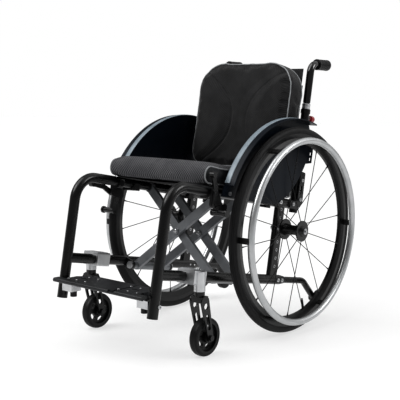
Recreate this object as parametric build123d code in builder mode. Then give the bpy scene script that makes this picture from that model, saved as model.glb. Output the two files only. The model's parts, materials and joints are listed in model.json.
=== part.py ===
from build123d import *
from math import acos, atan2, cos, degrees, hypot, radians, sin, sqrt
import os

os.makedirs("parts", exist_ok=True)

# Manual folding wheelchair, millimetres. X runs across the chair with +X on the user's
# left, -Y is the front, +Z is up. The origin is on the floor, midway along the overall
# length and width. The two side frames lean back by PITCH about the rear axle, so most
# pieces are drawn in frame coordinates: "along" runs back parallel to the rails and "up"
# stands square to them, both counted from the rear axle.

# ---- overall ----
LENGTH = 865.0  # nose of the footplate to the back of the rear tyres
FRAME_X = 169.0  # side frame centreline from the middle of the chair
TRACK_X = FRAME_X + 57.0  # middle plane of a rear wheel from the middle of the chair
PITCH = 9.5  # degrees that the frame leans back

# ---- rear wheels ----
WHEEL_R = 297.5
TYRE_R = 12.0  # section radius of the tyre
RIM_INNER_R = WHEEL_R - 47.5
RIM_WIDTH = 20.0
SPOKES = 18
SPOKE_R = 1.1
SPOKE_SINK = 3.0  # length of spoke held in the rim and in the flange
HUB_HALF = 36.0
FLANGE_R = 30.0
FLANGE_X = 29.0  # flange from the wheel's middle plane
FLANGE_WIDTH = 4.0
HUB_WAIST_R = 14.0
HANDRIM_TUBE_R = 9.5
HANDRIM_R = WHEEL_R - 37.0
HANDRIM_OFFSET = 41.5
HANDRIM_TABS = 6
AXLE_R = 6.35
RUNNING = 0.05  # radial clearance of a turning or sliding fit
BUTTON_R = 4.0
BUTTON_TRAVEL = 4.0

# ---- side frame tubes ----
TUBE_R = 14.0
TUBE_WALL = 2.0
RAIL_UP = 75.5
LOWER_UP = -151.5
RAIL_REAR = 52.0
DOWN_END = -258.0
BEND_R = 65.0
LOWER_REAR = 58.0
TAPER = 18.0
AXLE_BAR = (38.0, 15.0)  # width and thickness
AXLE_HOLES = 8
AXLE_HOLE_PITCH = 24.0
AXLE_HOLE_R = 4.5
AXLE_SLEEVE_R = 12.0
ANTI_TIP_BOSS_R = 11.0
ANTI_TIP_BOSS = 10.5  # face of the boss from the tube's centreline

# ---- cross brace ----
PIVOT_X = FRAME_X - 30.0
PIVOT_UP = -160.0
SEAT_RAIL_UP = 72.3
SEAT_RAIL_R = 11.0
SEAT_RAIL_ENDS = (-352.0, 30.0)
BAR_WIDTH = 25.0
BAR_THICK = 12.0
BAR_GAP = 2.0  # between the two bars of an X
CROSS_ALONG = (-240.0, -139.0)  # where the two X frames stand
SLEEVE_R = 12.0
SLEEVE_MARGIN = 15.0  # sleeve past the outer faces of the X frames
PIVOT_ROD_R = 8.0
LUG_THICK = 8.0
EYE_WALL = 3.9
STUD_R = 5.0
SADDLES = (-304.0, -60.0)
SADDLE_LENGTH = 22.0

# ---- casters ----
CASTER_X = FRAME_X + 35.0
CASTER_BACK = -392.0  # stem from the rear axle
CASTER_TRAIL = 25.0
CASTER_R = 51.0
CASTER_WIDTH = 24.0
STEM_R = 6.95
HOUSING_R = 15.0
HOUSING_Z = (176.0, 228.0)
FORK_GAP = 32.0
FORK_THICK = 5.0
CASTER_AXLE_R = 4.0
CASTER_WINDOWS = 5

# ---- anti-tip rollers ----
ANTI_TIP_R = 9.5
ANTI_TIP_BEND = 172.0
ANTI_TIP_END = (246.0, -203.0)
ROLLER_R = 26.0
ROLLER_WIDTH = 22.0
SIDE_PLAY = 0.5  # between a roller and the face beside it
BOLT_HEAD_R = 7.0
BOLT_HEAD = 3.5

# ---- back ----
CANE_ALONG = 72.0
CANE_R = TUBE_R - 1.5  # clear of the bracket plates clamped over the rails
CANE_ENDS = (52.0, 364.0)
HANDLE_TUBE_R = 9.5
HANDLE_R = 11.0
HANDLE_BOTTOM = 290.0
HANDLE_STEP = 384.0  # where the handle's thick tube starts
HANDLE_Z = 781.0
HANDLE_BEND_R = 28.0
GRIP_R = 16.5
GRIP_START = 183.0  # behind the rear axle
GRIP_LENGTH = 57.0
GRIP_RIBS = 9
KNOB_UP = 340.0
KNOB_R = 10.0
KNOB_LENGTH = 22.0
PLUNGER_R = 3.0
PLATE_THICK = 5.0

# ---- side guard ----
GUARD_X = FRAME_X + 25.0
GUARD_THICK = 3.0
GUARD_R = WHEEL_R + 24.5
GUARD_ANGLES = (70.5, 153.0)
GUARD_WIDTH = 32.0

# ---- brake ----
BRAKE_X = FRAME_X + 17.0
LEVER_PIVOT = (-WHEEL_R - 39.0, 41.5)
SHOE_PIVOT = (-WHEEL_R - 7.9, 37.6)
LEVER_LENGTH = 79.0
LEVER_REST = 96.5  # degrees from +Y, released
LEVER_TRAVEL = 61.0
SHOE_ARM = 47.8
SHOE_TRAVEL = 69.0
SHOE_R = 8.0
SHOE_GAP = 0.6
BRAKE_PIN_R = 4.0
BRAKE_PLAY = 1.5

# ---- footplate ----
PLATE_Z = 175.0
PLATE_SIZE = (FRAME_X - 4.0, 95.0, 7.0)  # half width, depth and thickness
NOSE_TO_TUBE = 46.0
LIP_R = 5.5
LIP_DEPTH = 21.0
FOOT_HINGE_X = FRAME_X - 27.0
FOOT_HINGE_Z = 171.0
FOOT_KNUCKLE_R = 5.5
FOOT_PIN_R = 2.5
SEAM_X = 50.0
TONGUE = 14.0
TONGUE_THICK = 3.0
SEAM_GAP = 4.0
BLOCK_Z = (144.0, 165.0)
BLOCK_DEPTH = 34.0

# ---- upholstery ----
SEAT_HALF = FRAME_X + 16.0
SEAT_ENDS = (-380.0, 42.0)
SEAT_UP = 90.4
SEAT_THICK = 60.0
SLING_THICK = 2.0
BACK_HALF = FRAME_X + 9.0
BACK_UP = (163.0, 492.0)
BACK_FRONT = -30.0
BACK_THICK = 70.0

# ---- derived places ----
NOSE_Y = -LENGTH / 2
AXLE_Y = LENGTH / 2 - WHEEL_R
AXLE_Z = WHEEL_R
SINP = sin(radians(PITCH))
COSP = cos(radians(PITCH))
BACK = Vector(0, COSP, -SINP)
UP = Vector(0, SINP, COSP)


def frame_point(x, along, up):
    """Point at x and at frame coordinates along and up."""
    return Vector(x, AXLE_Y, AXLE_Z) + BACK * along + UP * up


def frame_coords(behind, z):
    """Frame coordinates of a point a distance behind the axle and at height z."""
    rise = z - AXLE_Z
    return (behind * COSP - rise * SINP, behind * SINP + rise * COSP)


def side_plane(x):
    """Plane of a side view: local axes along and up, normal +X."""
    return Plane(origin=frame_point(x, 0, 0), x_dir=BACK, z_dir=(1, 0, 0))


def cross_plane(along):
    """Plane square to the rails: local axes X and up, normal to the front."""
    return Plane(origin=frame_point(0, along, 0), x_dir=(1, 0, 0), z_dir=-BACK)


def deck_plane(up):
    """Plane parallel to the rails: local axes X and along, normal up."""
    return Plane(origin=frame_point(0, 0, up), x_dir=(1, 0, 0), z_dir=UP)


def upright_plane(x, behind=0.0):
    """Level side view: local axes +Y and +Z counted from the axle, normal +X."""
    return Plane(origin=(x, AXLE_Y + behind, AXLE_Z), x_dir=(0, 1, 0), z_dir=(1, 0, 0))


FRONT = frame_coords(NOSE_Y + NOSE_TO_TUBE - AXLE_Y, PLATE_Z + PLATE_SIZE[2] / 2)[0]
WHEEL_PLANE = Plane(origin=(TRACK_X, AXLE_Y, AXLE_Z), x_dir=(1, 0, 0), z_dir=(0, -1, 0))
WHEEL_AXIS = Axis((0, AXLE_Y, AXLE_Z), (1, 0, 0))
SIDES = {"left": 1, "right": -1}


def save(piece, label):
    """Label a finished piece and write its STEP file."""
    piece.part.label = label
    export_step(piece.part, f"parts/{label}.step")
    print(label, "valid" if piece.part.is_valid else "NOT VALID", round(piece.part.volume))


def save_pair(piece, name):
    """Write the left piece and its mirror image on the right."""
    save(piece, f"left_{name}")
    with BuildPart() as other:
        mirror(piece.part, about=Plane.YZ)
    save(other, f"right_{name}")


def rod(plane, centres, radius, start, end, mode=Mode.ADD):
    """Straight round bars normal to a plane, from start to end."""
    with BuildSketch(plane.offset(start)) as section:
        with Locations(*centres):
            Circle(radius)
    extrude(section.sketch, amount=end - start, mode=mode)


def screw(centres, x_inner, x_head, radius):
    """Socket screws along X with their heads outside x_head."""
    head_r = 1.8 * radius
    head = 1.1 * radius
    rod(side_plane(0), centres, radius, x_inner, x_head)
    rod(side_plane(0), centres, head_r, x_head, x_head + head)
    rod(side_plane(0), centres, 0.9 * radius, x_head + 0.4 * head, x_head + head, Mode.SUBTRACT)


# =====================================================================================
# Side frame: bent upper and down tube, lower tube, axle bar
# =====================================================================================
SCREW_R = 3.0
BRACKET_RAIL_SCREW = (38.0, RAIL_UP)
BRACKET_CANE_SCREWS = ((CANE_ALONG, 92.0), (CANE_ALONG, 150.0))
BLOCK_SCREW = frame_coords(NOSE_Y + NOSE_TO_TUBE - AXLE_Y, BLOCK_Z[0] + 8.0)
LOWER_SCREWS = ((16.0, LOWER_UP), (36.0, LOWER_UP))
GUARD_SCREWS = ((-284.0, RAIL_UP), (-40.0, RAIL_UP))

with BuildPart() as side_tube:
    with BuildLine(side_plane(FRAME_X)):
        FilletPolyline((RAIL_REAR, RAIL_UP), (FRONT, RAIL_UP), (FRONT, DOWN_END), radius=BEND_R)
    with BuildSketch(cross_plane(RAIL_REAR)):
        with Locations((FRAME_X, RAIL_UP)):
            Circle(TUBE_R)
            Circle(TUBE_R - TUBE_WALL, mode=Mode.SUBTRACT)
    sweep()
    rail_holes = (BRACKET_RAIL_SCREW, BLOCK_SCREW, *GUARD_SCREWS)
    rod(side_plane(0), rail_holes, SCREW_R, FRAME_X - 2 * TUBE_R, FRAME_X + 2 * TUBE_R, Mode.SUBTRACT)
save_pair(side_tube, "side_tube")

SLEEVE_ENDS = (CROSS_ALONG[0] - BAR_THICK - SLEEVE_MARGIN, CROSS_ALONG[1] + BAR_THICK + SLEEVE_MARGIN)
LUG_PLAY = 0.5
LUGS = (SLEEVE_ENDS[0] - LUG_PLAY, SLEEVE_ENDS[1] + LUG_PLAY + LUG_THICK)  # rear face of each lug

with BuildPart() as lower_tube:
    with BuildSketch(side_plane(FRAME_X)):
        with BuildLine():
            Polyline(
                (FRONT, LOWER_UP + TUBE_R - TUBE_WALL),
                (FRONT, LOWER_UP + TUBE_R),
                (LOWER_REAR - TAPER, LOWER_UP + TUBE_R),
                (LOWER_REAR, LOWER_UP + ANTI_TIP_R + TUBE_WALL),
                (LOWER_REAR, LOWER_UP + ANTI_TIP_R),
                (0, LOWER_UP + ANTI_TIP_R),
                (0, LOWER_UP + TUBE_R - TUBE_WALL),
                close=True,
            )
        make_face()
    revolve(axis=Axis(frame_point(FRAME_X, 0, LOWER_UP), BACK))
    for lug_back in LUGS:
        with BuildSketch(cross_plane(lug_back)):
            with Locations((FRAME_X, LOWER_UP)):
                Circle(TUBE_R)
            with Locations((PIVOT_X, PIVOT_UP)):
                Circle(PIVOT_ROD_R + 5)
            make_hull()
            with Locations((FRAME_X, LOWER_UP)):
                Circle(TUBE_R - TUBE_WALL / 2, mode=Mode.SUBTRACT)
            with Locations((PIVOT_X, PIVOT_UP)):
                Circle(PIVOT_ROD_R, mode=Mode.SUBTRACT)
        extrude(amount=LUG_THICK)
    rod(deck_plane(0), [(FRAME_X, FRONT)], TUBE_R, LOWER_UP - 30, LOWER_UP + 30, Mode.SUBTRACT)
    rod(side_plane(0), LOWER_SCREWS, SCREW_R, FRAME_X - 2 * TUBE_R, FRAME_X + 2 * TUBE_R, Mode.SUBTRACT)
save_pair(lower_tube, "lower_tube")

with BuildPart() as axle_bar:
    with BuildSketch(side_plane(FRAME_X - 1 - AXLE_BAR[1] / 2)):
        with Locations((0, (RAIL_UP + LOWER_UP) / 2)):
            Rectangle(AXLE_BAR[0], RAIL_UP - LOWER_UP)
    extrude(amount=AXLE_BAR[1])
    fillet(axle_bar.edges().filter_by(lambda e: abs(e.tangent_at(0).dot(UP)) > 0.99), radius=5)
    for tube_up in (RAIL_UP, LOWER_UP):
        rod(cross_plane(0), [(FRAME_X, tube_up)], TUBE_R, -AXLE_BAR[0], AXLE_BAR[0], Mode.SUBTRACT)
    AXLE_BAR_HOLES = [(0, (i - AXLE_HOLES / 2) * AXLE_HOLE_PITCH - 16) for i in range(AXLE_HOLES)]
    AXLE_BAR_HOLES = [hole for hole in AXLE_BAR_HOLES if abs(hole[1]) > 1.5 * AXLE_SLEEVE_R]
    rod(side_plane(0), AXLE_BAR_HOLES, AXLE_HOLE_R, FRAME_X - 20, FRAME_X + 20, Mode.SUBTRACT)
    rod(side_plane(0), [(0, 0)], AXLE_SLEEVE_R, FRAME_X - 20, FRAME_X + 20, Mode.SUBTRACT)
save_pair(axle_bar, "axle_bar")

with BuildPart() as anti_tip_tube:
    with BuildLine(side_plane(FRAME_X)):
        FilletPolyline((0, LOWER_UP), (ANTI_TIP_BEND, LOWER_UP), ANTI_TIP_END, radius=45)
    with BuildSketch(cross_plane(0)):
        with Locations((FRAME_X, LOWER_UP)):
            Circle(ANTI_TIP_R)
            Circle(ANTI_TIP_R - 1.5, mode=Mode.SUBTRACT)
    sweep()
    boss_face = FRAME_X + ANTI_TIP_BOSS
    roller_end = boss_face + SIDE_PLAY + ROLLER_WIDTH
    rod(side_plane(0), [ANTI_TIP_END], ANTI_TIP_BOSS_R, FRAME_X - ANTI_TIP_BOSS, boss_face)
    head_face = roller_end + SIDE_PLAY
    rod(side_plane(0), [ANTI_TIP_END], CASTER_AXLE_R, boss_face, head_face)
    rod(side_plane(0), [ANTI_TIP_END], BOLT_HEAD_R, head_face, head_face + BOLT_HEAD)
    rod(side_plane(0), LOWER_SCREWS, SCREW_R, FRAME_X - 2 * TUBE_R, FRAME_X + 2 * TUBE_R, Mode.SUBTRACT)
save_pair(anti_tip_tube, "anti_tip_tube")

with BuildPart() as roller:
    rod(side_plane(0), [ANTI_TIP_END], ROLLER_R, roller_end - ROLLER_WIDTH, roller_end)
    fillet(roller.edges().filter_by(GeomType.CIRCLE), radius=4)
    rod(side_plane(0), [ANTI_TIP_END], CASTER_AXLE_R + RUNNING, FRAME_X, FRAME_X + 50, Mode.SUBTRACT)
save_pair(roller, "anti_tip_roller")

# =====================================================================================
# Rear wheels
# =====================================================================================
with BuildPart() as tyre:
    with BuildSketch(WHEEL_PLANE):
        with Locations((0, WHEEL_R - TYRE_R)):
            Circle(TYRE_R)
    revolve(axis=WHEEL_AXIS)
save_pair(tyre, "tyre")

with BuildPart() as rim:
    RIM_TOP = WHEEL_R - 1.45 * TYRE_R
    with BuildSketch(WHEEL_PLANE):
        with BuildLine():
            Polyline(
                (RIM_WIDTH / 2, RIM_TOP),
                (RIM_WIDTH / 2, RIM_TOP - 13),
                (4, RIM_INNER_R),
                (-4, RIM_INNER_R),
                (-RIM_WIDTH / 2, RIM_TOP - 13),
                (-RIM_WIDTH / 2, RIM_TOP),
                close=True,
            )
        make_face()
        with Locations((0, WHEEL_R - TYRE_R)):
            Circle(TYRE_R, mode=Mode.SUBTRACT)
    revolve(axis=WHEEL_AXIS)
save_pair(rim, "rim")

with BuildPart() as hub:
    with BuildSketch(WHEEL_PLANE):
        with BuildLine():
            Polyline(
                (HUB_HALF, AXLE_R + RUNNING),
                (HUB_HALF, 13),
                (FLANGE_X + FLANGE_WIDTH / 2, 17),
                (FLANGE_X + FLANGE_WIDTH / 2, FLANGE_R),
                (FLANGE_X - FLANGE_WIDTH / 2, FLANGE_R),
                (FLANGE_X - FLANGE_WIDTH / 2, 18),
                (8, HUB_WAIST_R),
                (-8, HUB_WAIST_R),
                (-FLANGE_X + FLANGE_WIDTH / 2, 18),
                (-FLANGE_X + FLANGE_WIDTH / 2, FLANGE_R),
                (-FLANGE_X - FLANGE_WIDTH / 2, FLANGE_R),
                (-FLANGE_X - FLANGE_WIDTH / 2, 17),
                (-HUB_HALF, 13),
                (-HUB_HALF, AXLE_R + RUNNING),
                close=True,
            )
        make_face()
    revolve(axis=WHEEL_AXIS)
save_pair(hub, "hub")

with BuildPart() as spokes:
    for i in range(SPOKES):
        turn = radians(5 + 360 * i / SPOKES)
        flange = FLANGE_X if i % 2 else -FLANGE_X
        radial = Vector(0, cos(turn), sin(turn))
        centre = Vector(TRACK_X, AXLE_Y, AXLE_Z)
        foot = centre + Vector(flange, 0, 0) + radial * (FLANGE_R - SPOKE_SINK)
        tip = centre + Vector(flange / 15, 0, 0) + radial * (RIM_INNER_R + SPOKE_SINK)
        with BuildSketch(Plane(origin=foot, z_dir=tip - foot)):
            Circle(SPOKE_R)
        extrude(amount=(tip - foot).length)
save_pair(spokes, "spokes")

with BuildPart() as handrim:
    with BuildSketch(WHEEL_PLANE):
        with Locations((HANDRIM_OFFSET, HANDRIM_R)):
            Circle(HANDRIM_TUBE_R)
    revolve(axis=WHEEL_AXIS)
    with BuildSketch(upright_plane(TRACK_X + RIM_WIDTH / 2)):
        with PolarLocations(RIM_TOP - 12, HANDRIM_TABS):
            Rectangle(5, 16)
    extrude(amount=HANDRIM_OFFSET - RIM_WIDTH / 2)
save_pair(handrim, "handrim")

AXLE_HEAD_X = TRACK_X + HUB_HALF + 0.4
with BuildPart() as axle_pin:
    rod(side_plane(0), [(0, 0)], AXLE_R, FRAME_X - 20, AXLE_HEAD_X)
    rod(side_plane(0), [(0, 0)], 9.0, AXLE_HEAD_X, AXLE_HEAD_X + 5)
    rod(side_plane(0), [(0, 0)], BUTTON_R + RUNNING, AXLE_HEAD_X - 10, AXLE_HEAD_X + 6, Mode.SUBTRACT)
save_pair(axle_pin, "axle_pin")

with BuildPart() as axle_button:
    button_ends = (AXLE_HEAD_X - 10 + BUTTON_TRAVEL + 0.5, AXLE_HEAD_X + 5 + BUTTON_TRAVEL)
    rod(side_plane(0), [(0, 0)], BUTTON_R, *button_ends)
    chamfer(axle_button.faces().sort_by(Axis.X)[-1].edges(), length=0.8)
save_pair(axle_button, "axle_button")

# =====================================================================================
# Clamps, blocks and screws of a side frame
# =====================================================================================
CASTER_Y = AXLE_Y + CASTER_BACK
CASTER_ALONG = frame_coords(CASTER_BACK, HOUSING_Z[1])[0]
SLEEVE_END_X = TRACK_X - HUB_HALF - 0.5
TUBE_FOOT_Y = NOSE_Y + NOSE_TO_TUBE
SPACER_R = 7.0

with BuildPart() as clamps_and_screws:
    # split clamp round the lower tube, with ribs on top, that carries the stem housing
    with BuildSketch(cross_plane(CASTER_ALONG - 24)):
        with Locations(((FRAME_X + CASTER_X) / 2 - 8, LOWER_UP + 1)):
            RectangleRounded(CASTER_X - FRAME_X + 24, 2 * TUBE_R + 10, 4)
    extrude(amount=-48)
    for i in range(7):
        with BuildSketch(cross_plane(CASTER_ALONG - 18 + 6 * i)):
            with Locations((FRAME_X, LOWER_UP + TUBE_R + 6)):
                Rectangle(2 * TUBE_R, 3)
        extrude(amount=3)
    rod(Plane.XY, [(CASTER_X, CASTER_Y)], HOUSING_R, *HOUSING_Z)
    rod(cross_plane(CASTER_ALONG), [(FRAME_X, LOWER_UP)], TUBE_R, -60, 60, Mode.SUBTRACT)
    rod(Plane.XY, [(CASTER_X, CASTER_Y)], STEM_R + RUNNING, HOUSING_Z[0], HOUSING_Z[1] - 4, Mode.SUBTRACT)
    with BuildSketch(Plane.XY.offset(HOUSING_Z[0])):
        with Locations((CASTER_X, CASTER_Y)):
            Rectangle(120, 120)
    extrude(amount=-30, mode=Mode.SUBTRACT)
    # footplate block on the inner side of the down tube, with two hinge ears and a pin
    with BuildSketch(Plane.XY.offset(BLOCK_Z[0])):
        with Locations((FRAME_X - TUBE_R - 14, TUBE_FOOT_Y)):
            Rectangle(38, BLOCK_DEPTH)
    extrude(amount=BLOCK_Z[1] - BLOCK_Z[0])
    for ear in (-BLOCK_DEPTH / 2, BLOCK_DEPTH / 2 - 7.5):
        with BuildSketch(Plane.XZ.offset(-TUBE_FOOT_Y - ear)):
            with Locations((FOOT_HINGE_X, FOOT_HINGE_Z)):
                Circle(FOOT_KNUCKLE_R)
            with Locations((FOOT_HINGE_X, BLOCK_Z[1] - 3)):
                Rectangle(2 * FOOT_KNUCKLE_R, 4)
            make_hull()
        extrude(amount=-7.5)
    hinge_plane = Plane.XZ.offset(-TUBE_FOOT_Y)
    rod(hinge_plane, [(FOOT_HINGE_X, FOOT_HINGE_Z)], FOOT_PIN_R, -BLOCK_DEPTH / 2, BLOCK_DEPTH / 2)
    rod(deck_plane(0), [(FRAME_X, FRONT)], TUBE_R, DOWN_END - 5, LOWER_UP, Mode.SUBTRACT)
    screw([BLOCK_SCREW], FRAME_X - TUBE_R - 6, FRAME_X + TUBE_R, SCREW_R)
    # rod that the cross brace sleeve turns on
    rod(cross_plane(0), [(PIVOT_X, PIVOT_UP)], PIVOT_ROD_R, -LUGS[1], -LUGS[0] + LUG_THICK)
    for rod_end in (-LUGS[1] - 4, -LUGS[0] + LUG_THICK):
        rod(cross_plane(0), [(PIVOT_X, PIVOT_UP)], PIVOT_ROD_R + 3, rod_end, rod_end + 4)
    # axle sleeve and inserts in the axle bar
    rod(side_plane(0), [(0, 0)], AXLE_SLEEVE_R, FRAME_X - TUBE_R, SLEEVE_END_X)
    rod(side_plane(0), [(0, 0)], AXLE_R, FRAME_X - 20, SLEEVE_END_X, Mode.SUBTRACT)
    bar_faces = (FRAME_X - 1 - AXLE_BAR[1] / 2, FRAME_X - 1 + AXLE_BAR[1] / 2)
    rod(side_plane(0), AXLE_BAR_HOLES, AXLE_HOLE_R, bar_faces[0] - 0.5, bar_faces[1] + 0.5)
    rod(side_plane(0), AXLE_BAR_HOLES, AXLE_HOLE_R - 1.5, bar_faces[0] - 1, bar_faces[1] + 1, Mode.SUBTRACT)
    # screws of the back bracket, the tube joint and the side guard
    BRACKET_FACE = FRAME_X + TUBE_R + PLATE_THICK
    screw([BRACKET_RAIL_SCREW, *BRACKET_CANE_SCREWS], FRAME_X - TUBE_R, BRACKET_FACE, SCREW_R)
    screw(LOWER_SCREWS, FRAME_X - TUBE_R, FRAME_X + TUBE_R, SCREW_R)
    screw(GUARD_SCREWS, FRAME_X - TUBE_R, GUARD_X + GUARD_THICK, SCREW_R)
save_pair(clamps_and_screws, "clamps_and_screws")

with BuildPart() as saddles_and_plugs:
    for saddle in SADDLES:
        with BuildSketch(cross_plane(saddle + SADDLE_LENGTH / 2)):
            with BuildLine():
                Polyline(
                    (PIVOT_X - SEAT_RAIL_R - 4.5, SEAT_RAIL_UP + 4),
                    (PIVOT_X - SEAT_RAIL_R - 4.5, SEAT_RAIL_UP - SEAT_RAIL_R - 5),
                    (FRAME_X, RAIL_UP - TUBE_R - 7),
                    (FRAME_X, SEAT_RAIL_UP + 4),
                    close=True,
                )
            make_face()
            with Locations((FRAME_X, RAIL_UP)):
                Circle(TUBE_R, mode=Mode.SUBTRACT)
            with Locations((PIVOT_X, SEAT_RAIL_UP)):
                Circle(SEAT_RAIL_R + 0.5, mode=Mode.SUBTRACT)
            with Locations((PIVOT_X, SEAT_RAIL_UP + 10)):
                Rectangle(2 * SEAT_RAIL_R + 1, 20, mode=Mode.SUBTRACT)
        extrude(amount=SADDLE_LENGTH)
    # plug in the foot of the down tube
    rod(deck_plane(0), [(FRAME_X, FRONT)], TUBE_R - TUBE_WALL, DOWN_END, DOWN_END + 18)
    rod(deck_plane(0), [(FRAME_X, FRONT)], TUBE_R, DOWN_END - 3, DOWN_END)
    # buffer knob under the footplate block
    rod(Plane.XY, [(FRAME_X - TUBE_R - 22, TUBE_FOOT_Y)], 9.0, BLOCK_Z[0] - 15, BLOCK_Z[0])
save_pair(saddles_and_plugs, "saddles_and_plugs")

# =====================================================================================
# Cross brace and seat rails
# =====================================================================================
HALF_RISE = (SEAT_RAIL_UP - PIVOT_UP) / 2
CENTRE_UP = (SEAT_RAIL_UP + PIVOT_UP) / 2
BAR_LENGTH = 2 * hypot(PIVOT_X, HALF_RISE)
BAR_ANGLE = degrees(atan2(HALF_RISE, PIVOT_X))
EYE_R = SEAT_RAIL_R + EYE_WALL


def cross_frame(side):
    """Two parallel bars welded to a sleeve at the foot, with an eye round the far seat rail.

    side is +1 for the frame whose foot is on the left, -1 for the other.
    """
    step = (BAR_THICK + BAR_GAP) / 2
    for x_frame in CROSS_ALONG:
        bar_back = x_frame + side * step + BAR_THICK / 2
        with BuildSketch(cross_plane(bar_back)) as bar:
            with Locations((0, CENTRE_UP)):
                Rectangle(BAR_LENGTH, BAR_WIDTH, rotation=-side * BAR_ANGLE)
            with Locations((side * PIVOT_X, PIVOT_UP)):
                Circle(SLEEVE_R + 1)
            with Locations((-side * PIVOT_X, SEAT_RAIL_UP)):
                Circle(EYE_R)
        extrude(bar.sketch, amount=BAR_THICK)
    rod(cross_plane(0), [(side * PIVOT_X, PIVOT_UP)], SLEEVE_R, -SLEEVE_ENDS[1], -SLEEVE_ENDS[0])
    span = (-SLEEVE_ENDS[1] - 1, -SLEEVE_ENDS[0] + 1)
    rod(cross_plane(0), [(side * PIVOT_X, PIVOT_UP)], PIVOT_ROD_R + RUNNING, *span, Mode.SUBTRACT)
    rod(cross_plane(0), [(-side * PIVOT_X, SEAT_RAIL_UP)], SEAT_RAIL_R + RUNNING, *span, Mode.SUBTRACT)


with BuildPart() as cross_frame_a:
    cross_frame(1)
    for x_frame in CROSS_ALONG:
        # pivot stud through both bars, with a head in front and behind
        stud = (-x_frame - BAR_THICK - BAR_GAP / 2, -x_frame + BAR_THICK + BAR_GAP / 2)
        rod(cross_plane(0), [(0, CENTRE_UP)], STUD_R, stud[0], stud[1] + 1)
        rod(cross_plane(0), [(0, CENTRE_UP)], STUD_R + 4, stud[1] + 0.5, stud[1] + 4)
        rod(cross_plane(0), [(0, CENTRE_UP)], STUD_R + 4, stud[0] - 4, stud[0])
save(cross_frame_a, "cross_frame_a")

with BuildPart() as cross_frame_b:
    cross_frame(-1)
    stud_bore = (-CROSS_ALONG[1] - 40, -CROSS_ALONG[0] + 40)
    rod(cross_plane(0), [(0, CENTRE_UP)], STUD_R + RUNNING, *stud_bore, Mode.SUBTRACT)
save(cross_frame_b, "cross_frame_b")

with BuildPart() as seat_rail:
    rod(cross_plane(0), [(PIVOT_X, SEAT_RAIL_UP)], SEAT_RAIL_R, -SEAT_RAIL_ENDS[1], -SEAT_RAIL_ENDS[0])
    rail_bore = (-SEAT_RAIL_ENDS[1] + 4, -SEAT_RAIL_ENDS[0] - 4)
    rod(cross_plane(0), [(PIVOT_X, SEAT_RAIL_UP)], SEAT_RAIL_R - TUBE_WALL, *rail_bore, Mode.SUBTRACT)
    fillet(seat_rail.edges().filter_by(GeomType.CIRCLE).group_by(lambda e: e.radius)[-1], radius=2)
save_pair(seat_rail, "seat_rail")

# =====================================================================================
# Casters
# =====================================================================================
AXLE_DROP = CASTER_R - AXLE_Z
CROWN_Z = 150.0 - AXLE_Z

with BuildPart() as caster_fork:
    for leg in (-FORK_GAP / 2 - FORK_THICK, FORK_GAP / 2):
        with BuildSketch(upright_plane(CASTER_X + leg, CASTER_BACK)):
            with Locations((0, CROWN_Z)):
                Circle(15)
            with Locations((CASTER_TRAIL, AXLE_DROP)):
                Circle(10)
            make_hull()
            with Locations((4, CROWN_Z - 12)):
                Circle(8.5, mode=Mode.SUBTRACT)
            with Locations((14, (CROWN_Z + AXLE_DROP) / 2 - 6)):
                SlotOverall(44, 11, rotation=-75, mode=Mode.SUBTRACT)
        extrude(amount=FORK_THICK)
    with BuildSketch(Plane.XY.offset(AXLE_Z + CROWN_Z - 2)):
        with Locations((CASTER_X, CASTER_Y)):
            RectangleRounded(FORK_GAP + 2 * FORK_THICK, 28, 6)
    extrude(amount=15)
    rod(Plane.XY, [(CASTER_X, CASTER_Y)], HOUSING_R - 1, AXLE_Z + CROWN_Z, HOUSING_Z[0] - 0.5)
    rod(Plane.XY, [(CASTER_X, CASTER_Y)], STEM_R, AXLE_Z + CROWN_Z, HOUSING_Z[1] - 6)
    axle_end = FORK_GAP / 2 + FORK_THICK + 3
    axle_plane = upright_plane(CASTER_X, CASTER_BACK)
    rod(axle_plane, [(CASTER_TRAIL, AXLE_DROP)], CASTER_AXLE_R, -axle_end, axle_end)
    for bolt_head in (-axle_end - 2, axle_end - 3):
        rod(axle_plane, [(CASTER_TRAIL, AXLE_DROP)], 7.5, bolt_head, bolt_head + 5)
save_pair(caster_fork, "caster_fork")

with BuildPart() as caster_wheel:
    centre = Plane(origin=(CASTER_X, CASTER_Y + CASTER_TRAIL, CASTER_R), x_dir=(1, 0, 0), z_dir=(0, -1, 0))
    with BuildSketch(centre):
        with Locations((0, CASTER_R - 7)):
            Rectangle(CASTER_WIDTH, 14)
        with Locations((0, (CASTER_R - 10) / 2)):
            Rectangle(9, CASTER_R - 10)
        with Locations((0, 7)):
            Rectangle(FORK_GAP - 2, 14)
        with Locations((0, (CASTER_AXLE_R + RUNNING) / 2)):
            Rectangle(2 * FORK_GAP, CASTER_AXLE_R + RUNNING, mode=Mode.SUBTRACT)
    revolve(axis=Axis(centre.origin, (1, 0, 0)))
    tread = caster_wheel.edges().filter_by(GeomType.CIRCLE).filter_by(lambda e: e.radius > CASTER_R - 1)
    fillet(tread, radius=7)
    with BuildSketch(Plane(origin=centre.origin - Vector(10, 0, 0), x_dir=(0, 1, 0), z_dir=(1, 0, 0))):
        with PolarLocations(25.5, CASTER_WINDOWS):
            SlotOverall(22, 13, rotation=90, mode=Mode.ADD)
    extrude(amount=20, mode=Mode.SUBTRACT)
save_pair(caster_wheel, "caster_wheel")

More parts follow.
